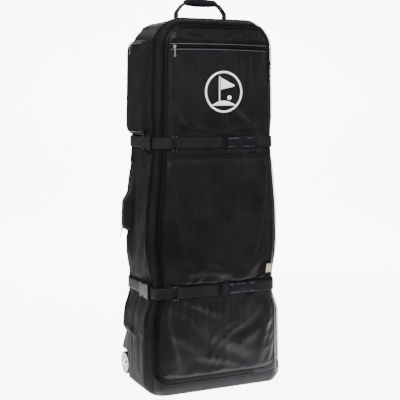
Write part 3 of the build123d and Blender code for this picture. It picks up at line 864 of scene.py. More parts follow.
# ---- sizes, fabrics and one operator for each group ----
class TravelCaseSizes(bpy.types.PropertyGroup):
    """Sizes that a user would change."""

    wall: bpy.props.FloatProperty(
        name="Wall", description="Thickness of the padded fabric", default=0.005,
        unit="LENGTH", min=0.001,
    )
    piping: bpy.props.FloatProperty(
        name="Piping", description="Diameter of the piping cord", default=0.0036,
        unit="LENGTH", min=0.001,
    )
    tooth_pitch: bpy.props.FloatProperty(
        name="Tooth pitch", description="Distance from one zip tooth to the next",
        default=0.0042, unit="LENGTH", min=0.001,
    )
    stitch: bpy.props.FloatProperty(
        name="Stitch", description="Length of one stitch", default=0.0034,
        unit="LENGTH", min=0.001,
    )


def sizes():
    """The scene's sizes that a user may change."""
    return bpy.context.scene.travel_case


def fabrics():
    """The case's materials, each made once."""
    if "Woven polyester, black" in bpy.data.materials:
        return {m.name: m for m in bpy.data.materials}
    # plain-woven 600 denier polyester: matt black with a faint violet cast and a soft sheen
    woven("Woven polyester, black", "#0e0d0f", "#1c1a1d", 1.1, 0.46, 0.07, 0.35)
    # heavier nylon of the side panels: a little warmer and coarser
    woven("Ballistic nylon, charcoal", "#0f0e0d", "#1b1a18", 1.8, 0.85, 0.012, 0.5, "#8a8780")
    # ribbed polypropylene webbing: grey-green, flat ribs across its length
    woven("Polypropylene webbing", "#131314", "#1f1f20", 1.6, 0.62, 0.05, 0.8, "#868a80")
    # zip tape and coil: dense black polyester
    woven("Zip tape, polyester", "#060607", "#0e0d0f", 0.8, 0.55, 0.05, 0.4)
    woven("Piping, grey polyester", "#4a464c", "#605b63", 0.9, 0.55, 0.1, 0.4)
    woven("Padded sleeve fabric", "#0d0b10", "#19161d", 1.2, 0.5, 0.1, 0.5)
    woven("Lining, tricot", "#26262a", "#35353a", 1.0, 0.75, 0.3, 0.3)
    woven("Embroidery thread, white", "#f2f2f2", "#ffffff", 0.7, 0.5, 0.25, 0.9, "#ffffff")
    woven("Woven label, sand", "#a39c84", "#c4bda6", 0.6, 0.6, 0.2, 0.6, "#ffffff")
    # acetal buckles: satin black mouldings
    moulded("Acetal, black", "#060606", "#0d0d0d", 0.42, 0.5)
    # wheel housing: textured polypropylene, grey-green black
    moulded("Polypropylene, textured", "#0e100c", "#181a15", 0.82, 0.9, 0.5)
    moulded("Urethane tyre, black", "#040404", "#0a0a0a", 0.85, 0.4)
    moulded("Coil, nylon", "#08080a", "#131214", 0.38, 0.3)
    plated("Nickel plate", "#b9b9b6", "#e4e4e0", 0.22)
    plated("Silver paint", "#777878", "#9c9d9c", 0.45)
    plated("Zinc-plated steel", "#8f9090", "#b8b9b8", 0.34)
    return {m.name: m for m in bpy.data.materials}


class TRAVELCASE_OT_lid(bpy.types.Operator):
    """Padded front lid, draped as cloth between its zip and the straps"""

    bl_idname = "travelcase.lid"
    bl_label = "Front lid"

    def execute(self, context):
        mats = fabrics()
        rows, cols = 236, 92
        places = lid_rows(LID_BOTTOM + 0.004, HEIGHT - LID_INSET - 0.004, rows, cols,
                          LID_INSET + 0.004, LID_BOTTOM_R)
        grid = np.zeros((rows, cols, 3))
        inward = np.zeros((rows, cols, 3))
        pinned = np.zeros((rows, cols), bool)
        for i, row in enumerate(places):
            for j, (x, z) in enumerate(row):
                rim = min(i, rows - 1 - i, j, cols - 1 - j)
                inset = LID_INSET + 0.0045 * rim
                lift = lid_swell(z) * edge_fade(inset) + 0.001
                grid[i, j] = lid_point(x, z, lift)
                inward[i, j] = (0, 1, 0)
                pinned[i, j] = rim < 2 or strapped(z) or under_pocket(z) < 0.9
        flat = grid.copy()
        most = 10 * MM
        grid = settle(grid, pinned, slack=0.007)
        for i, row in enumerate(places):
            for j, (x, z) in enumerate(row):
                rim = min(i, rows - 1 - i, j, cols - 1 - j)
                fade = min(rim / 7, 1.0)
                lift = fade * clear_of_straps(z) * under_pocket(z)
                lift *= fold_height(x, z) + gathers(x, z, 1.7)
                grid[i, j, 1] = max(grid[i, j, 1] - lift, flat[i, j, 1] - most)
        lid = shell("front_lid_panel", grid, inward, sizes().wall,
                    mats["Woven polyester, black"], "lid")
        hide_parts("front_lid")
        return {"FINISHED"}


class TRAVELCASE_OT_walls(bpy.types.Operator):
    """Side walls, top and back, draped as one band of cloth and a back panel"""

    bl_idname = "travelcase.walls"
    bl_label = "Walls"

    def execute(self, context):
        mats = fabrics()
        housing_low, housing_high = box_mm("left_wheel_housing")
        self.sides(mats, housing_low, housing_high)
        self.back(mats, housing_high)
        self.base_strip(mats)
        self.sole(mats, housing_low, housing_high)
        return {"FINISHED"}

    def sides(self, mats, housing_low, housing_high):
        """Both side walls and the top, as one band with its wheel corners left out."""
        steps = (150, 22, 30)
        base, out = gusset_grid(steps, 0.004)
        rows, cols = base.shape[:2]
        lift = np.zeros((rows, cols))
        pinned = np.zeros((rows, cols), bool)
        for i in range(rows):
            for j in range(cols):
                x, y, z = base[i, j]
                rim = min(j, cols - 1 - j)
                fade = smooth(rim, 0, 5)
                roof = smooth(z, HEIGHT - 0.07, HEIGHT - 0.01)
                lift[i, j] = swell(z) * fade * (1 - 0.75 * roof) + 0.001
                held = j < 9 or j > cols - 3 or i < 2 or i > rows - 3
                pinned[i, j] = held or strapped(z) or z < 0.17 or z > HEIGHT - 0.02
        grid = base + out * lift[..., None]
        grid = settle(grid, pinned, slack=0.010, cap=5 * MM)
        for i in range(rows):
            for j in range(cols):
                x, y, z = base[i, j]
                fade = smooth(min(j - 6, cols - 1 - j), 0, 5) * smooth(z, 0.0, 0.08)
                fade = min(fade, clear_of_straps(z))
                # long upright creases that run down from the buckles towards the base
                crease = 0.0
                for centre, lean in ((-0.085, 0.12), (-0.045, 0.05), (0.02, -0.02)):
                    near = (y - centre - lean * (z - 0.2)) / 0.011
                    reach = smooth(z, 0.02, 0.1) * (1 - smooth(z, 0.24, 0.33))
                    crease += math.exp(-near * near) * reach
                wave = gathers(y + 3.0 * (1 if x > 0 else 0), z, 7.1)
                grid[i, j] += out[i, j] * fade * (wave - 3.5 * MM * crease)
        keep = np.ones((rows - 1, cols - 1), bool)
        for i in range(rows - 1):
            for j in range(cols - 1):
                x, y, z = base[i, j]
                keep[i, j] = not (y > housing_low.y + 0.004 and z < housing_high.z - 0.012)
        walls = shell("side_and_top_wall", grid, -out, sizes().wall,
                      mats["Ballistic nylon, charcoal"], "case", keep)
        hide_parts("left_side_panel", "right_side_panel", "top_panel")

    def back(self, mats, housing_high):
        """Back wall, with its wheel corners left out."""
        rows, cols = 150, 60
        places = lid_rows(0.004, HEIGHT - LID_INSET, rows, cols, LID_INSET, 0.001)
        grid = np.zeros((rows, cols, 3))
        inward = np.zeros((rows, cols, 3))
        inward[..., 1] = -1
        for i, row in enumerate(places):
            for j, (x, z) in enumerate(row):
                rim = min(rows - 1 - i, j, cols - 1 - j)
                bulge = (swell(z) * 0.4 + gathers(x, z, 12.0)) * smooth(rim, 0, 6) + 0.001
                px, py, pz = lid_point(x, z, max(bulge, 0.0))
                grid[i, j] = (px, -py, pz)
        keep = np.ones((rows - 1, cols - 1), bool)
        for i in range(rows - 1):
            for j in range(cols - 1):
                x, y, z = grid[i, j]
                keep[i, j] = not (abs(x) > 0.008 - housing_high.x and z < housing_high.z - 0.012)
        back = shell("back_wall", grid, inward, sizes().wall,
                     mats["Woven polyester, black"], "case", keep)
        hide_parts("back_panel")

    def base_strip(self, mats):
        """The strip of the front below the lid."""
        cols, rows = 120, 14
        grid = np.zeros((rows, cols, 3))
        inward = np.zeros((rows, cols, 3))
        inward[..., 1] = 1
        reach_low = half_width(0.0) - LID_INSET
        for i in range(rows):
            for j in range(cols):
                u = 2 * j / (cols - 1) - 1
                x = reach_low * u
                from_side = reach_low - abs(x)
                high = LID_BOTTOM - 0.001
                if from_side < LID_BOTTOM_R:
                    drop = LID_BOTTOM_R - from_side
                    high += LID_BOTTOM_R - math.sqrt(LID_BOTTOM_R**2 - drop**2)
                z = 0.003 + (high - 0.003) * i / (rows - 1)
                ripple = 1.4 * MM * noise.noise(Vector((x * 20, z * 20, 5)))
                crown = 0.003 * math.sin(math.pi * i / (rows - 1)) + ripple
                lift = 0.001 + crown * smooth(from_side, 0, 0.03)
                grid[i, j] = lid_point(x * (half_width(z) - LID_INSET) / reach_low, z, lift)
        strip = shell("base_front_strip", grid, inward, sizes().wall,
                      mats["Woven polyester, black"], "case")
        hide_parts("base_boot")

    def sole(self, mats, housing_low, housing_high):
        """Flat moulded sole under the case, with the wheel corners left out."""
        corner = [math.radians(a) for a in range(180, 271, 10)]
        cut = housing_low.y + 4 * MM
        edge = half_width(0.0) - 0.001
        ring = [
            (EDGE_R - edge + EDGE_R * math.cos(a), EDGE_R - HALF_DEPTH + EDGE_R * math.sin(a))
            for a in corner
        ]
        ring += [(-x, y) for x, y in ring[::-1]]
        inner = -housing_high.x + 4 * MM
        ring += [(edge, cut), (inner, cut), (inner, HALF_DEPTH - 0.001)]
        ring += [(-inner, HALF_DEPTH - 0.001), (-inner, cut), (-edge, cut)]
        bm = bmesh.new()
        face = bm.faces.new([bm.verts.new(fullness((x, y, 0.0))) for x, y in ring])
        made = bmesh.ops.extrude_face_region(bm, geom=[face])
        for item in made["geom"]:
            if isinstance(item, bmesh.types.BMVert):
                item.co.z += 0.005
        mesh = bpy.data.meshes.new("base_sole")
        bm.to_mesh(mesh)
        bm.free()
        face_outward(mesh)
        link_piece("base_sole", mesh, "case", mats["Polypropylene, textured"])


class TRAVELCASE_OT_stage(bpy.types.Operator):
    """Pale floor, soft lights and the camera"""

    bl_idname = "travelcase.stage"
    bl_label = "Stage"

    def execute(self, context):
        material, tree, place = start_material("Backdrop, lit white paper")
        tone = node(tree, "ShaderNodeTexNoise", {"Scale": 2.0}, {"Vector": place})
        glow = node(tree, "ShaderNodeMapRange", {"To Min": 7.0, "To Max": 7.2},
                    {"Value": tone.outputs["Fac"]})
        end_material(
            tree,
            {"Roughness": 0.9, "Base Color": linear("#f4f4f4"),
             "Emission Color": linear("#ffffff")},
            {"Emission Strength": glow.outputs["Result"]},
        )
        # a paper sweep square to the camera: floor, curved rise and back wall, kept narrow
        # so that the side walls mirror the dim room and not the paper
        profile = [(-0.30, -0.0005), (0.0, -0.0005), (3.2, -0.0005)]
        profile += [
            (3.2 + math.sin(a), 1.0 - math.cos(a) - 0.0005)
            for a in np.linspace(0.1, math.pi / 2, 12)
        ]
        profile.append((4.2, 5.5))
        across = Vector((math.cos(CAMERA_YAW), -math.sin(CAMERA_YAW), 0))
        away = Vector((math.sin(CAMERA_YAW), math.cos(CAMERA_YAW), 0))
        verts = [
            across * (side * (0.85 + 0.21 * depth) - 0.05) + away * depth + Vector((0, 0, z))
            for depth, z in profile for side in (-1, 1)
        ]
        faces = [(2 * k, 2 * k + 1, 2 * k + 3, 2 * k + 2) for k in range(len(profile) - 1)]
        mesh = bpy.data.meshes.new("backdrop")
        mesh.from_pydata(verts, [], faces)
        mesh.materials.append(material)
        backdrop = bpy.data.objects.new("backdrop", mesh)
        context.scene.collection.objects.link(backdrop)
        world = bpy.data.worlds.new("Studio")
        context.scene.world = world
        world.use_nodes = True
        sky = world.node_tree.nodes["Background"]
        sky.inputs["Color"].default_value = (1, 1, 1, 1)
        sky.inputs["Strength"].default_value = 0.35
        # name, place, target, size, power
        softboxes = (
            ("key", (-1.9, -2.2, 2.9), (0, 0, 0.7), 0.9, 250),
            ("fill", (3.0, -2.0, 1.8), (0, 0, 0.6), 1.4, 45),
            ("left", (-3.0, 0.9, 1.8), (0, 0, 0.6), 1.2, 6),
            ("back", (0.8, 2.8, 2.4), (0, 0, 0.7), 1.8, 50),
        )
        for name, spot, target, width, power in softboxes:
            lamp = bpy.data.lights.new(name, "AREA")
            lamp.energy = power
            lamp.size = width
            obj = bpy.data.objects.new(name, lamp)
            obj.location = spot
            aim = Vector(target) - Vector(spot)
            obj.rotation_euler = aim.to_track_quat("-Z", "Y").to_euler()
            context.scene.collection.objects.link(obj)
        camera = bpy.data.cameras.new("camera")
        camera.sensor_width = 36.0
        camera.lens = CAMERA_LENS
        eye = bpy.data.objects.new("camera", camera)
        look = away * math.cos(CAMERA_PITCH) - Vector((0, 0, math.sin(CAMERA_PITCH)))
        eye.location = CAMERA_PLACE
        eye.rotation_euler = look.to_track_quat("-Z", "Y").to_euler()
        context.scene.collection.objects.link(eye)
        context.scene.camera = eye
        return {"FINISHED"}


class TRAVELCASE_OT_zips(bpy.types.Operator):
    """Main zip, its piping and stitching, the lid's fabric hinge and the pocket zips"""

    bl_idname = "travelcase.zips"
    bl_label = "Zips"

    def execute(self, context):
        mats = fabrics()
        tape = mats["Zip tape, polyester"]
        cloth = mats["Woven polyester, black"]
        raised = 2.0 * MM
        # body, side of the parting line, CAD node; then the offsets of tape, piping and seam
        halves = (("lid", -1, "main_zip_lid", 11, 12.5, 8),
                  ("case", 1, "main_zip_case", 8, 8.6, 5.5))
        for body, sign, node_name, wide, piping, sewn in halves:
            near = on_front(lid_edge(sign * 0.6 * MM, "zip"), raised)
            far = on_front(lid_edge(sign * wide * MM, "zip"), raised + 0.6 * MM)
            piece = band(node_name + "_tape", near, far, 1.2 * MM, tape, body, "zip_tape",
                         4, 0.5 * MM)
            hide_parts(node_name)
            teeth = on_front(lid_edge(sign * 1.5 * MM, "zip"), raised + 0.8 * MM)
            repeated(node_name + "_teeth", [teeth], sizes().tooth_pitch,
                     (2.4 * MM, 2.6 * MM, 1.8 * MM), mats["Coil, nylon"], body)
            edge = on_front(lid_edge(sign * piping * MM, "zip"), raised + 0.4 * MM)
            tube(node_name + "_piping", edge, sizes().piping / 2, cloth, body)
            seam = on_front(lid_edge(sign * sewn * MM, "zip"), raised + 1.1 * MM)
            stitched(node_name + "_stitches", seam, 1.4, 0.7 * MM, 0.5 * MM, body)
        outer = on_front(lid_edge(8 * MM, "hinge"), 2.4 * MM)
        inner = on_front(lid_edge(-10 * MM, "hinge"), 2.4 * MM)
        count = min(len(outer), len(inner))
        fold = band("lid_fold_strip", outer[:count], inner[:count], 1.0 * MM, cloth, None,
                    "case_fabric", 9, 1.0 * MM)
        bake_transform(fold)

        # ribs of the flap that covers the zip, round the corner of the side wall
        for k, (y, proud) in enumerate(((-0.112, 1.6), (-0.101, 1.9), (-0.093, 1.6))):
            track = outline(0.0, 0.03, (110, 18, 30))
            rim = outline(-0.001, 0.03, (110, 18, 30))
            path = []
            for (x, z), (ox, oz) in zip(track, rim):
                away = Vector((ox - x, 0, oz - z)).normalized()
                roof = smooth(z, HEIGHT - 0.07, HEIGHT - 0.01)
                lift = swell(z) * (1 - 0.75 * roof) + (1.0 + proud) * MM
                path.append(Vector((x, y, z)) + away * lift)
            tube(f"flap_rib_{k + 1}", path, 1.5 * MM, tape, "case", 6)

        # the front pocket's zip, between two lines of grey piping
        half = POCKET_HIGH.x
        middle = (ZIP_LOW.z + ZIP_HIGH.z) / 2
        xs = np.linspace(-half, half, 60)

        def zip_line(rise, lift):
            """A line across the pocket's zip, bowed slightly up in the middle."""
            places = [(x, middle + rise + 2.5 * MM * (1 - (x / half) ** 2)) for x in xs]
            return on_front(places, 3.6 * MM + lift)

        high = (ZIP_HIGH.z - ZIP_LOW.z) / 2
        low_tape = band("pocket_zip_tape", zip_line(-high, 0.6 * MM), zip_line(high, 0.6 * MM),
                        1.5 * MM, tape, "lid", "zip_tape", 5, 0.8 * MM)
        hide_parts("front_pocket_zip")
        for side in (-1, 1):
            tube(f"pocket_zip_piping_{side + 2}", zip_line(side * high, 1.4 * MM),
                 sizes().piping * 0.36, mats["Piping, grey polyester"], "lid")
        repeated("pocket_zip_teeth", [zip_line(0.0, 1.9 * MM)], sizes().tooth_pitch * 0.8,
                 (2.2 * MM, 5.0 * MM, 1.6 * MM), mats["Coil, nylon"], "lid")
        return {"FINISHED"}


class TRAVELCASE_OT_straps(bpy.types.Operator):
    """Compression straps: ribbed webbing, keepers, stitching and padded wraps"""

    bl_idname = "travelcase.straps"
    bl_label = "Straps"

    def execute(self, context):
        for level in ("upper", "lower"):
            self.webbing(level)
            self.wrap(level)
            self.inner(level)
        return {"FINISHED"}

    def webbing(self, level):
        """Loose and sewn webbing, its edge stitches and the keeper by the left corner."""
        mats = fabrics()
        low, high = box_mm(level + "_strap")
        off = -low.y - HALF_DEPTH
        height = (low.z + high.z) / 2
        half = (high.z - low.z) / 2
        plug_front = box_mm(level + "_buckle_plug")[0].y
        socket_rear = box_mm(level + "_buckle_socket")[1].y
        web = mats["Polypropylene webbing"]

        def rows(front, start, end):
            """The webbing's lower and upper edge, round the front or the back."""
            return [
                girth(height + k * half, off, start, end, front, seed=height) for k in (-1, 1)
            ]

        under, over = rows(True, STRAP_PIVOT_Y, plug_front + 4 * MM)
        loose = band(level + "_webbing", under, over, 2.0 * MM, web, level + "_strap", "webbing", 7)
        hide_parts(level + "_strap")
        under, over = rows(False, STRAP_PIVOT_Y + 0.6 * MM, socket_rear - 4 * MM)
        sewn = band(level + "_webbing_rear", under, over, 2.0 * MM, web, "case", "webbing", 7)
        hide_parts(level + "_strap_tail")
        for edge in (-1, 1):
            seam = girth(height + edge * (half - 2.5 * MM), off + 0.3 * MM, STRAP_PIVOT_Y,
                         plug_front + 4 * MM, True, seed=height)
            stitched(f"{level}_webbing_stitches_{edge + 2}", seam, 1.5, 0.8 * MM, 0.5 * MM,
                     level + "_strap")
        # a narrow keeper loop with bead ends, near the left corner
        keeper_x = (-168 if level == "upper" else -164) * MM
        front = low.y - 1.2 * MM
        for k, shift in enumerate((-4.5 * MM, 4.5 * MM)):
            x = keeper_x + shift
            line = [(x, front, height + t * (half + 2.5 * MM)) for t in np.linspace(-1, 1, 9)]
            tube(f"{level}_keeper_{k + 1}", line, 1.6 * MM, mats["Coil, nylon"],
                 level + "_strap")
        ends = [
            (keeper_x + shift, front - 0.6 * MM, height + t * (half + 4 * MM))
            for shift in (-6 * MM, 6 * MM) for t in (-1, 1)
        ]
        dots(level + "_keeper_beads", ends, 1.5 * MM, mats["Silver paint"], level + "_strap")

    def wrap(self, level):
        """Padded wrap round the webbing, with piping and a stitched end."""
        mats = fabrics()
        low, high = box_mm(level + "_strap_pad")
        body = level + "_strap"
        pad = pillow(level + "_padded_wrap", low, high, (1, -1), 2.5 * MM,
                     mats["Padded sleeve fabric"], body, 0.8 * MM, (60, 24))
        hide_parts(level + "_strap_pad")
        end = high.x - 0.15 * (high.x - low.x)
        inset = 3.2 * MM
        for k, z in enumerate((low.z + inset, high.z - inset)):
            line = [(x, low.y + 0.6 * MM, z) for x in np.linspace(low.x + 3 * MM, end, 24)]
            tube(f"{level}_wrap_piping_{k + 1}", line, 1.25 * MM, mats["Piping, grey polyester"],
                 body)
        heights = np.linspace(low.z + 3 * MM, high.z - 3 * MM, 12)
        seam = [(end + 2 * MM, low.y + 0.8 * MM, z) for z in heights]
        stitched(level + "_wrap_stitches", seam, 1.4, 0.9 * MM, 0.6 * MM, body)

    def inner(self, level):
        """Bag strap inside the case, lying against the back wall."""
        mats = fabrics()
        low, high = box_mm(level + "_inner_strap")
        size = high - low
        axis = min(range(3), key=lambda k: size[k])
        strap = pillow(level + "_inner_webbing", low, high, (axis, -1 if axis == 1 else 1), 0.0,
                       mats["Polypropylene webbing"], "case")
        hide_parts(level + "_inner_strap")


class TRAVELCASE_OT_pockets(bpy.types.Operator):
    """Front pocket, shoe pocket and side pocket, with seams and piping"""

    bl_idname = "travelcase.pockets"
    bl_label = "Pockets"

    def execute(self, context):
        self.front()
        self.shoe()
        self.side()
        return {"FINISHED"}

    def front(self):
        """Flat pocket over the lid, draped between its seams."""
        mats = fabrics()
        rows, cols = 112, 84
        half = POCKET_HIGH.x
        grid = np.zeros((rows, cols, 3))
        inward = np.zeros((rows, cols, 3))
        inward[..., 1] = 1
        pinned = np.zeros((rows, cols), bool)
        for i in range(rows):
            z = POCKET_LOW.z - 0.003 + (POCKET_HIGH.z - POCKET_LOW.z + 0.005) * i / (rows - 1)
            for j in range(cols):
                x = half * (2 * j / (cols - 1) - 1)
                rim = min(i, rows - 1 - i, j, cols - 1 - j)
                lift = lid_swell(z) + (2.2 + 1.6 * smooth(rim, 0, 5)) * MM
                grid[i, j] = lid_point(x, z, lift)
                pinned[i, j] = rim < 2 or abs(z - STRAPS[0]) < WEBBING * 0.5
        grid = settle(grid, pinned, slack=0.006, cap=2.5 * MM)
        for i in range(rows):
            for j in range(cols):
                x, z = grid[i, j, 0], grid[i, j, 2]
                rim = min(rows - 1 - i, j, cols - 1 - j)
                under = smooth(abs(z - STRAPS[0]), WEBBING * 0.42, WEBBING * 0.8)
                rise = fold_height(x, z) + gathers(x, z, 1.7)
                grid[i, j, 1] -= min(max(rise, -1.5 * MM), 4.5 * MM) * min(rim / 5, 1.0) * under
        panel = shell("front_pocket_panel", grid, inward, 2.2 * MM,
                      mats["Woven polyester, black"], "lid")
        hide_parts("front_pocket")
        hem = [Vector(grid[2, j]) + Vector((0, -0.7 * MM, 0)) for j in range(1, cols - 1)]
        tube("front_pocket_hem", hem, 1.1 * MM, mats["Woven polyester, black"],
             "lid")
        seam = [Vector(grid[4, j]) + Vector((0, -0.3 * MM, 0)) for j in range(1, cols - 1)]
        stitched("front_pocket_stitches", seam, 1.5, 0.8 * MM, 0.6 * MM, "lid")

    def rim(self, low, high, inset, lift, corner):
        """Closed rounded-corner path (y, z) on the left wall, drawn in from a pocket's edge."""
        path = []
        y0, y1 = low.y + inset, high.y - inset
        z0, z1 = low.z + inset, high.z - inset
        radius = corner - inset * 0.5
        for cy, cz, start in ((y0, z0, 180), (y1, z0, 270), (y1, z1, 0), (y0, z1, 90)):
            oy = cy + radius if cy == y0 else cy - radius
            oz = cz + radius if cz == z0 else cz - radius
            for a in np.linspace(math.radians(start), math.radians(start + 90), 10):
                path.append((oy + radius * math.cos(a), oz + radius * math.sin(a)))
        path.append(path[0])
        return [on_side(y, z, lift(z) if callable(lift) else lift) for y, z in path]

    def shoe(self):
        """Raised pouch at the top of the left wall."""
        mats = fabrics()
        low, high = box_mm("shoe_pocket")
        nylon = mats["Ballistic nylon, charcoal"]
        pouch = side_pouch_mesh("shoe_pouch", low.y - 3 * MM, high.y, low.z, high.z,
                                lambda z: 18.5 * MM, nylon, "case", sag=1.5 * MM)
        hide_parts("shoe_pocket")
        for k, (inset, lift) in enumerate(((1.5 * MM, 9 * MM), (10 * MM, 19 * MM))):
            ring = self.rim(low, high, inset, lift, 32 * MM)
            tube(f"shoe_pouch_piping_{k + 1}", ring, 2.2 * MM, mats["Woven polyester, black"],
                 "case")
        seam = self.rim(low, high, 5.5 * MM, 13.8 * MM, 32 * MM)
        stitched("shoe_pouch_stitches", seam, 1.5, 0.9 * MM, 0.9 * MM, "case")
        across = np.linspace(low.y + 0.02, high.y - 0.02, 30)
        top = [on_side(y, high.z - 12 * MM, 17 * MM) for y in across]
        repeated("shoe_pocket_teeth", [top], sizes().tooth_pitch * 0.8,
                 (2.2 * MM, 4.5 * MM, 2.0 * MM), mats["Coil, nylon"], "case")

    def side(self):
        """Small pouch between the straps, full only in its lower half."""
        mats = fabrics()
        low, high = box_mm("side_pocket")
        span = high.z - low.z

        def full(z):
            """How far the pouch stands out at a height."""
            down = (high.z - z) / span
            return (3.0 + 5 * smooth(down, 0.0, 0.4) + 26 * smooth(down, 0.38, 0.56)) * MM

        pouch = side_pouch_mesh("side_pouch", low.y, high.y, low.z, high.z, full,
                                mats["Ballistic nylon, charcoal"], "case")
        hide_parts("side_pocket")
        middle = (low.y + high.y) / 2
        heights = np.linspace(low.z + 16 * MM, high.z - 10 * MM, 30)
        for k, shift in enumerate((-7 * MM, 7 * MM)):
            line = [on_side(middle + shift, z, full(z) + 0.6 * MM) for z in heights]
            tube(f"side_pouch_piping_{k + 1}", line, 1.1 * MM, mats["Piping, grey polyester"],
                 "case")
        teeth = [on_side(middle, z, full(z) + 0.8 * MM) for z in heights]
        repeated("side_pouch_teeth", [teeth], sizes().tooth_pitch * 0.8,
                 (2.2 * MM, 1.8 * MM, 4.5 * MM), mats["Coil, nylon"], "case")
        ring = self.rim(low, high, 1.5 * MM, lambda z: full(z) * 0.45, 30 * MM)
        tube("side_pouch_hem", ring, 1.4 * MM, mats["Woven polyester, black"],
             "case")


class TRAVELCASE_OT_handle(bpy.types.Operator):
    """Top carry handle: folded webbing, padded grip and sewn anchor patches"""

    bl_idname = "travelcase.handle"
    bl_label = "Handle"

    def execute(self, context):
        mats = fabrics()
        web_low, web_high = box_mm("handle_webbing")
        grip_low, grip_high = box_mm("handle_grip")
        top = (grip_low.z + grip_high.z) / 2
        edge = web_high.x - 2 * MM
        grip = grip_high.x
        foot = web_low.z + 4 * MM
        corners = [(-edge, foot), (-edge, foot + 22 * MM), (-grip - 12 * MM, top - 7 * MM),
                   (-grip + 4 * MM, top), (grip - 4 * MM, top), (grip + 12 * MM, top - 7 * MM),
                   (edge, foot + 22 * MM), (edge, foot)]
        path = []
        for (x0, z0), (x1, z1) in zip(corners, corners[1:]):
            for t in np.linspace(0, 1, 12)[:-1]:
                path.append((x0 + (x1 - x0) * t, z0 + (z1 - z0) * t))
        path.append(corners[-1])
        for _ in range(6):
            inside = [
                tuple((path[k - 1][n] + 2 * path[k][n] + path[k + 1][n]) / 4 for n in (0, 1))
                for k in range(1, len(path) - 1)
            ]
            path = [path[0]] + inside + [path[-1]]
        near = [Vector((x, web_low.y + 0.4 * MM, z)) for x, z in path]
        far = [Vector((x, web_high.y - 0.4 * MM, z)) for x, z in path]
        tape = band("handle_tape", near, far, 7.0 * MM, mats["Polypropylene webbing"], "handle",
                    "webbing", 7, 0.3 * MM)
        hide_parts("handle_webbing")
        verts = []
        rows, sides = 48, 28
        tall = (grip_high.z - grip_low.z) / 2 + 3 * MM
        for i in range(rows):
            u = 2 * i / (rows - 1) - 1
            girdle = (0.62 + 0.38 * math.cos(u * 1.35)) * math.sqrt(max(1 - abs(u) ** 14, 0.16))
            for k in range(sides):
                a = 2 * math.pi * k / sides
                ridge = 0.5 * MM * noise.noise(Vector((u * 5, math.cos(a) * 2, math.sin(a) * 2)))
                reach = tall * girdle + ridge
                verts.append((u * (grip + 2 * MM), reach * 1.05 * math.cos(a),
                              top + reach * math.sin(a)))
        sleeve = mesh_object("handle_sleeve", verts, sleeve_faces(rows, sides),
                             mats["Padded sleeve fabric"], "handle")
        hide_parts("handle_grip")
        seam = []
        for i in range(3, rows - 3):
            u = 2 * i / (rows - 1) - 1
            girdle = (0.62 + 0.38 * math.cos(u * 1.35)) * tall + 0.4 * MM
            a = math.radians(-38)
            seam.append(Vector((u * grip, -girdle * 1.05 * math.cos(a),
                                top + girdle * math.sin(a))))
        tube("handle_sleeve_seam", seam, 0.9 * MM, mats["Woven polyester, black"],
             "handle")
        raised = [p + Vector((0, 0, 3 * MM)) for p in seam]
        stitched("handle_sleeve_stitches", raised, 1.5, 0.9 * MM, 0.8 * MM,
                 "handle")
        low, high = box_mm("handle_anchors")
        for side in (-1, 1):
            inner, outer = sorted((side * high.x, side * (high.x - 44 * MM)))
            patch = pillow(f"handle_patch_{side + 2}", (inner, low.y, low.z),
                           (outer, high.y, HEIGHT + 4 * MM), (2, 1), 1 * MM,
                           mats["Ballistic nylon, charcoal"], "case", 0.6 * MM)
            x0, x1 = inner + 4 * MM, outer - 4 * MM
            y0, y1 = low.y + 3 * MM, high.y - 3 * MM
            z = HEIGHT + 5.2 * MM
            box = [(x0, y0, z), (x1, y0, z), (x1, y1, z), (x0, y1, z), (x0, y0, z), (x1, y1, z)]
            stitched(f"handle_patch_stitches_{side + 2}", box, 1.3, 0.9 * MM, 0.9 * MM,
                     "case", "Piping, grey polyester")
        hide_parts("handle_anchors")
        return {"FINISHED"}


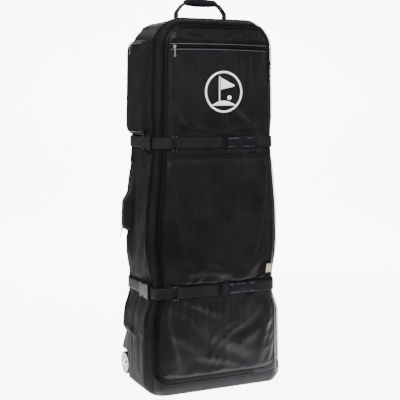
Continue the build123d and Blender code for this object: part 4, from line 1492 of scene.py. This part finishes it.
class TRAVELCASE_OT_marks(bpy.types.Operator):
    """Embroidered pennant emblem on the front and the woven side label"""

    bl_idname = "travelcase.marks"
    bl_label = "Emblem and label"

    def execute(self, context):
        mats = fabrics()
        white = mats["Embroidery thread, white"]
        low, high = box_mm("emblem_patch")
        cx, cz = (low.x + high.x) / 2, (low.z + high.z) / 2
        radius = (high.x - low.x) / 2

        def place(u, v, lift=5.6 * MM):
            """A point of the emblem, from its middle in units of its radius."""
            x, z = cx + u * radius, cz + v * radius
            return Vector(lid_point(x, z, lid_swell(z) + lift))

        def line(points):
            """A row of emblem points."""
            return [place(u, v) for u, v in points]

        def raised(name, edges, thickness, between, crown):
            """One embroidered piece between two rows of points."""
            return band("emblem_" + name, *edges, thickness * MM, white, "lid",
                        "emblem_thread", between, crown * MM)

        turn = np.linspace(0, 2 * math.pi, 73)
        rings = [line([(math.cos(a) * r, math.sin(a) * r) for a in turn]) for r in (0.9, 1.0)]
        outer_ring = raised("ring", rings, 1.4, 5, 0.5)
        along = np.linspace(0, 1, 20)
        flag = (line([(-0.16 + 0.72 * t, 0.10 + 0.16 * t) for t in along]),
                line([(-0.16 + 0.72 * t, 0.68 - 0.34 * t) for t in along]))
        raised("pennant", flag, 1.4, 9, 0.6)
        pole = (line([(-0.26, -0.5 + 1.25 * t) for t in along]),
                line([(-0.20, -0.5 + 1.25 * t) for t in along]))
        raised("pole", pole, 1.4, 3, 0.4)
        reach = np.linspace(-0.66, 0.66, 30)
        mound = (line([(u, -0.66) for u in reach]),
                 line([(u, -0.64 + 0.22 * math.cos(u / 0.66 * math.pi / 2)) for u in reach]))
        raised("green", mound, 1.4, 7, 0.5)
        width = np.linspace(-0.11, 0.11, 14)
        ball = [
            line([(0.30 + u, -0.28 + s * math.sqrt(max(0.0125 - u * u, 1e-5))) for u in width])
            for s in (-1, 1)
        ]
        raised("ball", ball, 1.6, 7, 0.8)
        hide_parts("emblem_patch")
        tape_low, tape_high = box_mm("woven_label")
        middle = (tape_low.x + tape_high.x) / 2 - 3 * MM
        wide = np.linspace(middle - 10.5 * MM, middle + 9 * MM, 12)

        def on_lid(x, z, lift):
            """A point of the label, on the lid's lower right edge."""
            return Vector(lid_point(x, z, lid_swell(z) * 0.75 + lift))

        rows = [[on_lid(x, z, 3.4 * MM) for x in wide] for z in (tape_low.z, tape_high.z + 3 * MM)]
        label = band("side_label", *rows, 1.6 * MM, mats["Woven label, sand"], "lid", "label_weave",
                     7, 0.3 * MM)
        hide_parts("woven_label")
        edges = [
            [on_lid(x, z, 4.0 * MM) for x in wide[1:-1]]
            for z in (tape_low.z + 2 * MM, tape_high.z + 1 * MM)
        ]
        repeated("side_label_stitches", edges, sizes().stitch, (2.2 * MM, 0.6 * MM, 0.6 * MM),
                 mats["Zip tape, polyester"], "lid")
        return {"FINISHED"}


# CAD pieces that keep their own shape, and what each is made of
HARD_PIECES = {
    "Acetal, black": ("buckle_socket", "buckle_plug", "prong_top", "prong_bottom", "adjuster"),
    "Nickel plate": ("slider", "pull"),
    "Silver paint": ("hub",),
    "Urethane tyre, black": ("tyre",),
    "Polypropylene, textured": ("wheel_housing", "base_board", "back_board"),
    "Zinc-plated steel": ("axle", "bearings"),
}


class TRAVELCASE_OT_finishes(bpy.types.Operator):
    """Finishes of the moulded and metal pieces, the inner pad and the housing screws"""

    bl_idname = "travelcase.finishes"
    bl_label = "Finishes"

    def execute(self, context):
        mats = fabrics()
        for material, endings in HARD_PIECES.items():
            for obj in bpy.data.objects:
                if obj.type == "MESH" and obj.name.endswith(endings) and "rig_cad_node" in obj:
                    obj.data.materials.clear()
                    obj.data.materials.append(mats[material])
        low, high = box_mm("top_foam_pad")
        pad = pillow("top_lining_pad", low, high, (2, -1), 1.0 * MM, mats["Lining, tricot"], "case",
                     0.8 * MM)
        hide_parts("top_foam_pad")
        for side in ("left", "right"):
            low, high = box_mm(side + "_wheel_housing")
            out = -1 if side == "left" else 1
            face = low.x if out < 0 else high.x
            heads = [(face, y, z) for y, z in ((0.098, 0.030), (0.098, 0.140))]
            dots(side + "_housing_screws", heads, 3.2 * MM, mats["Zinc-plated steel"],
                 "case")
            # each wheel gets a black disc behind its spokes as painted shade for its hollows
            self.web(side, mats)
        # cord and bead on the main zip's pull
        low, high = box_mm("main_pull")
        start = Vector(((low.x + high.x) / 2, (low.y + high.y) / 2, low.z + 3 * MM))
        drop = [start + Vector((0.5 * MM * math.sin(k), 0, -4.2 * MM * k)) for k in range(10)]
        tube("main_pull_cord", drop, 1.7 * MM, mats["Coil, nylon"], "main_pull")
        dots("main_pull_bead", [drop[-1]], 2.8 * MM, mats["Silver paint"],
             "main_pull")
        return {"FINISHED"}

    def web(self, side, mats):
        """Black rubber disc in the middle of a wheel, seen between the spokes: painted shade that
        darkens the wheel's hollows.
        """
        low, high = box_mm(side + "_tyre")
        centre = (low + high) / 2
        reach = (high.z - low.z) / 2 - 8 * MM
        verts = []
        for x in (centre.x - 1.5 * MM, centre.x + 1.5 * MM):
            for radius in (13 * MM, reach):
                for k in range(48):
                    a = 2 * math.pi * k / 48
                    verts.append((x, centre.y + radius * math.cos(a),
                                  centre.z + radius * math.sin(a)))
        faces = []
        for k in range(48):
            n = (k + 1) % 48
            faces += [
                (k, n, 48 + n, 48 + k), (96 + n, 96 + k, 144 + k, 144 + n),
                (48 + k, 48 + n, 144 + n, 144 + k), (n, k, 96 + k, 96 + n),
            ]
        mesh_object(side + "_wheel_web", verts, faces, mats["Urethane tyre, black"],
                    side + "_wheel")


class TRAVELCASE_PT_panel(bpy.types.Panel):
    """Sizes and one button for each group of pieces"""

    bl_idname = "TRAVELCASE_PT_panel"
    bl_label = "Golf travel case"
    bl_space_type = "VIEW_3D"
    bl_region_type = "UI"
    bl_category = "Travel Case"

    def draw(self, context):
        column = self.layout.column()
        for name in TravelCaseSizes.__annotations__:
            column.prop(context.scene.travel_case, name)
        for operator in OPERATORS:
            column.operator(operator.bl_idname)


OPERATORS = (
    TRAVELCASE_OT_stage,
    TRAVELCASE_OT_lid,
    TRAVELCASE_OT_walls,
    TRAVELCASE_OT_zips,
    TRAVELCASE_OT_pockets,
    TRAVELCASE_OT_straps,
    TRAVELCASE_OT_handle,
    TRAVELCASE_OT_marks,
    TRAVELCASE_OT_finishes,
)
CLASSES = (TravelCaseSizes, *OPERATORS, TRAVELCASE_PT_panel)


def register():
    """Make the sizes, operators and panel known to Blender."""
    for item in CLASSES:
        bpy.utils.register_class(item)
    bpy.types.Scene.travel_case = bpy.props.PointerProperty(type=TravelCaseSizes)


def unregister():
    """Take them away again, in the opposite order."""
    del bpy.types.Scene.travel_case
    for item in reversed(CLASSES):
        bpy.utils.unregister_class(item)


def main():
    """Build every group in turn."""
    register()
    for operator in OPERATORS:
        group, name = operator.bl_idname.split(".")
        getattr(getattr(bpy.ops, group), name)()


if __name__ == "__main__":
    main()
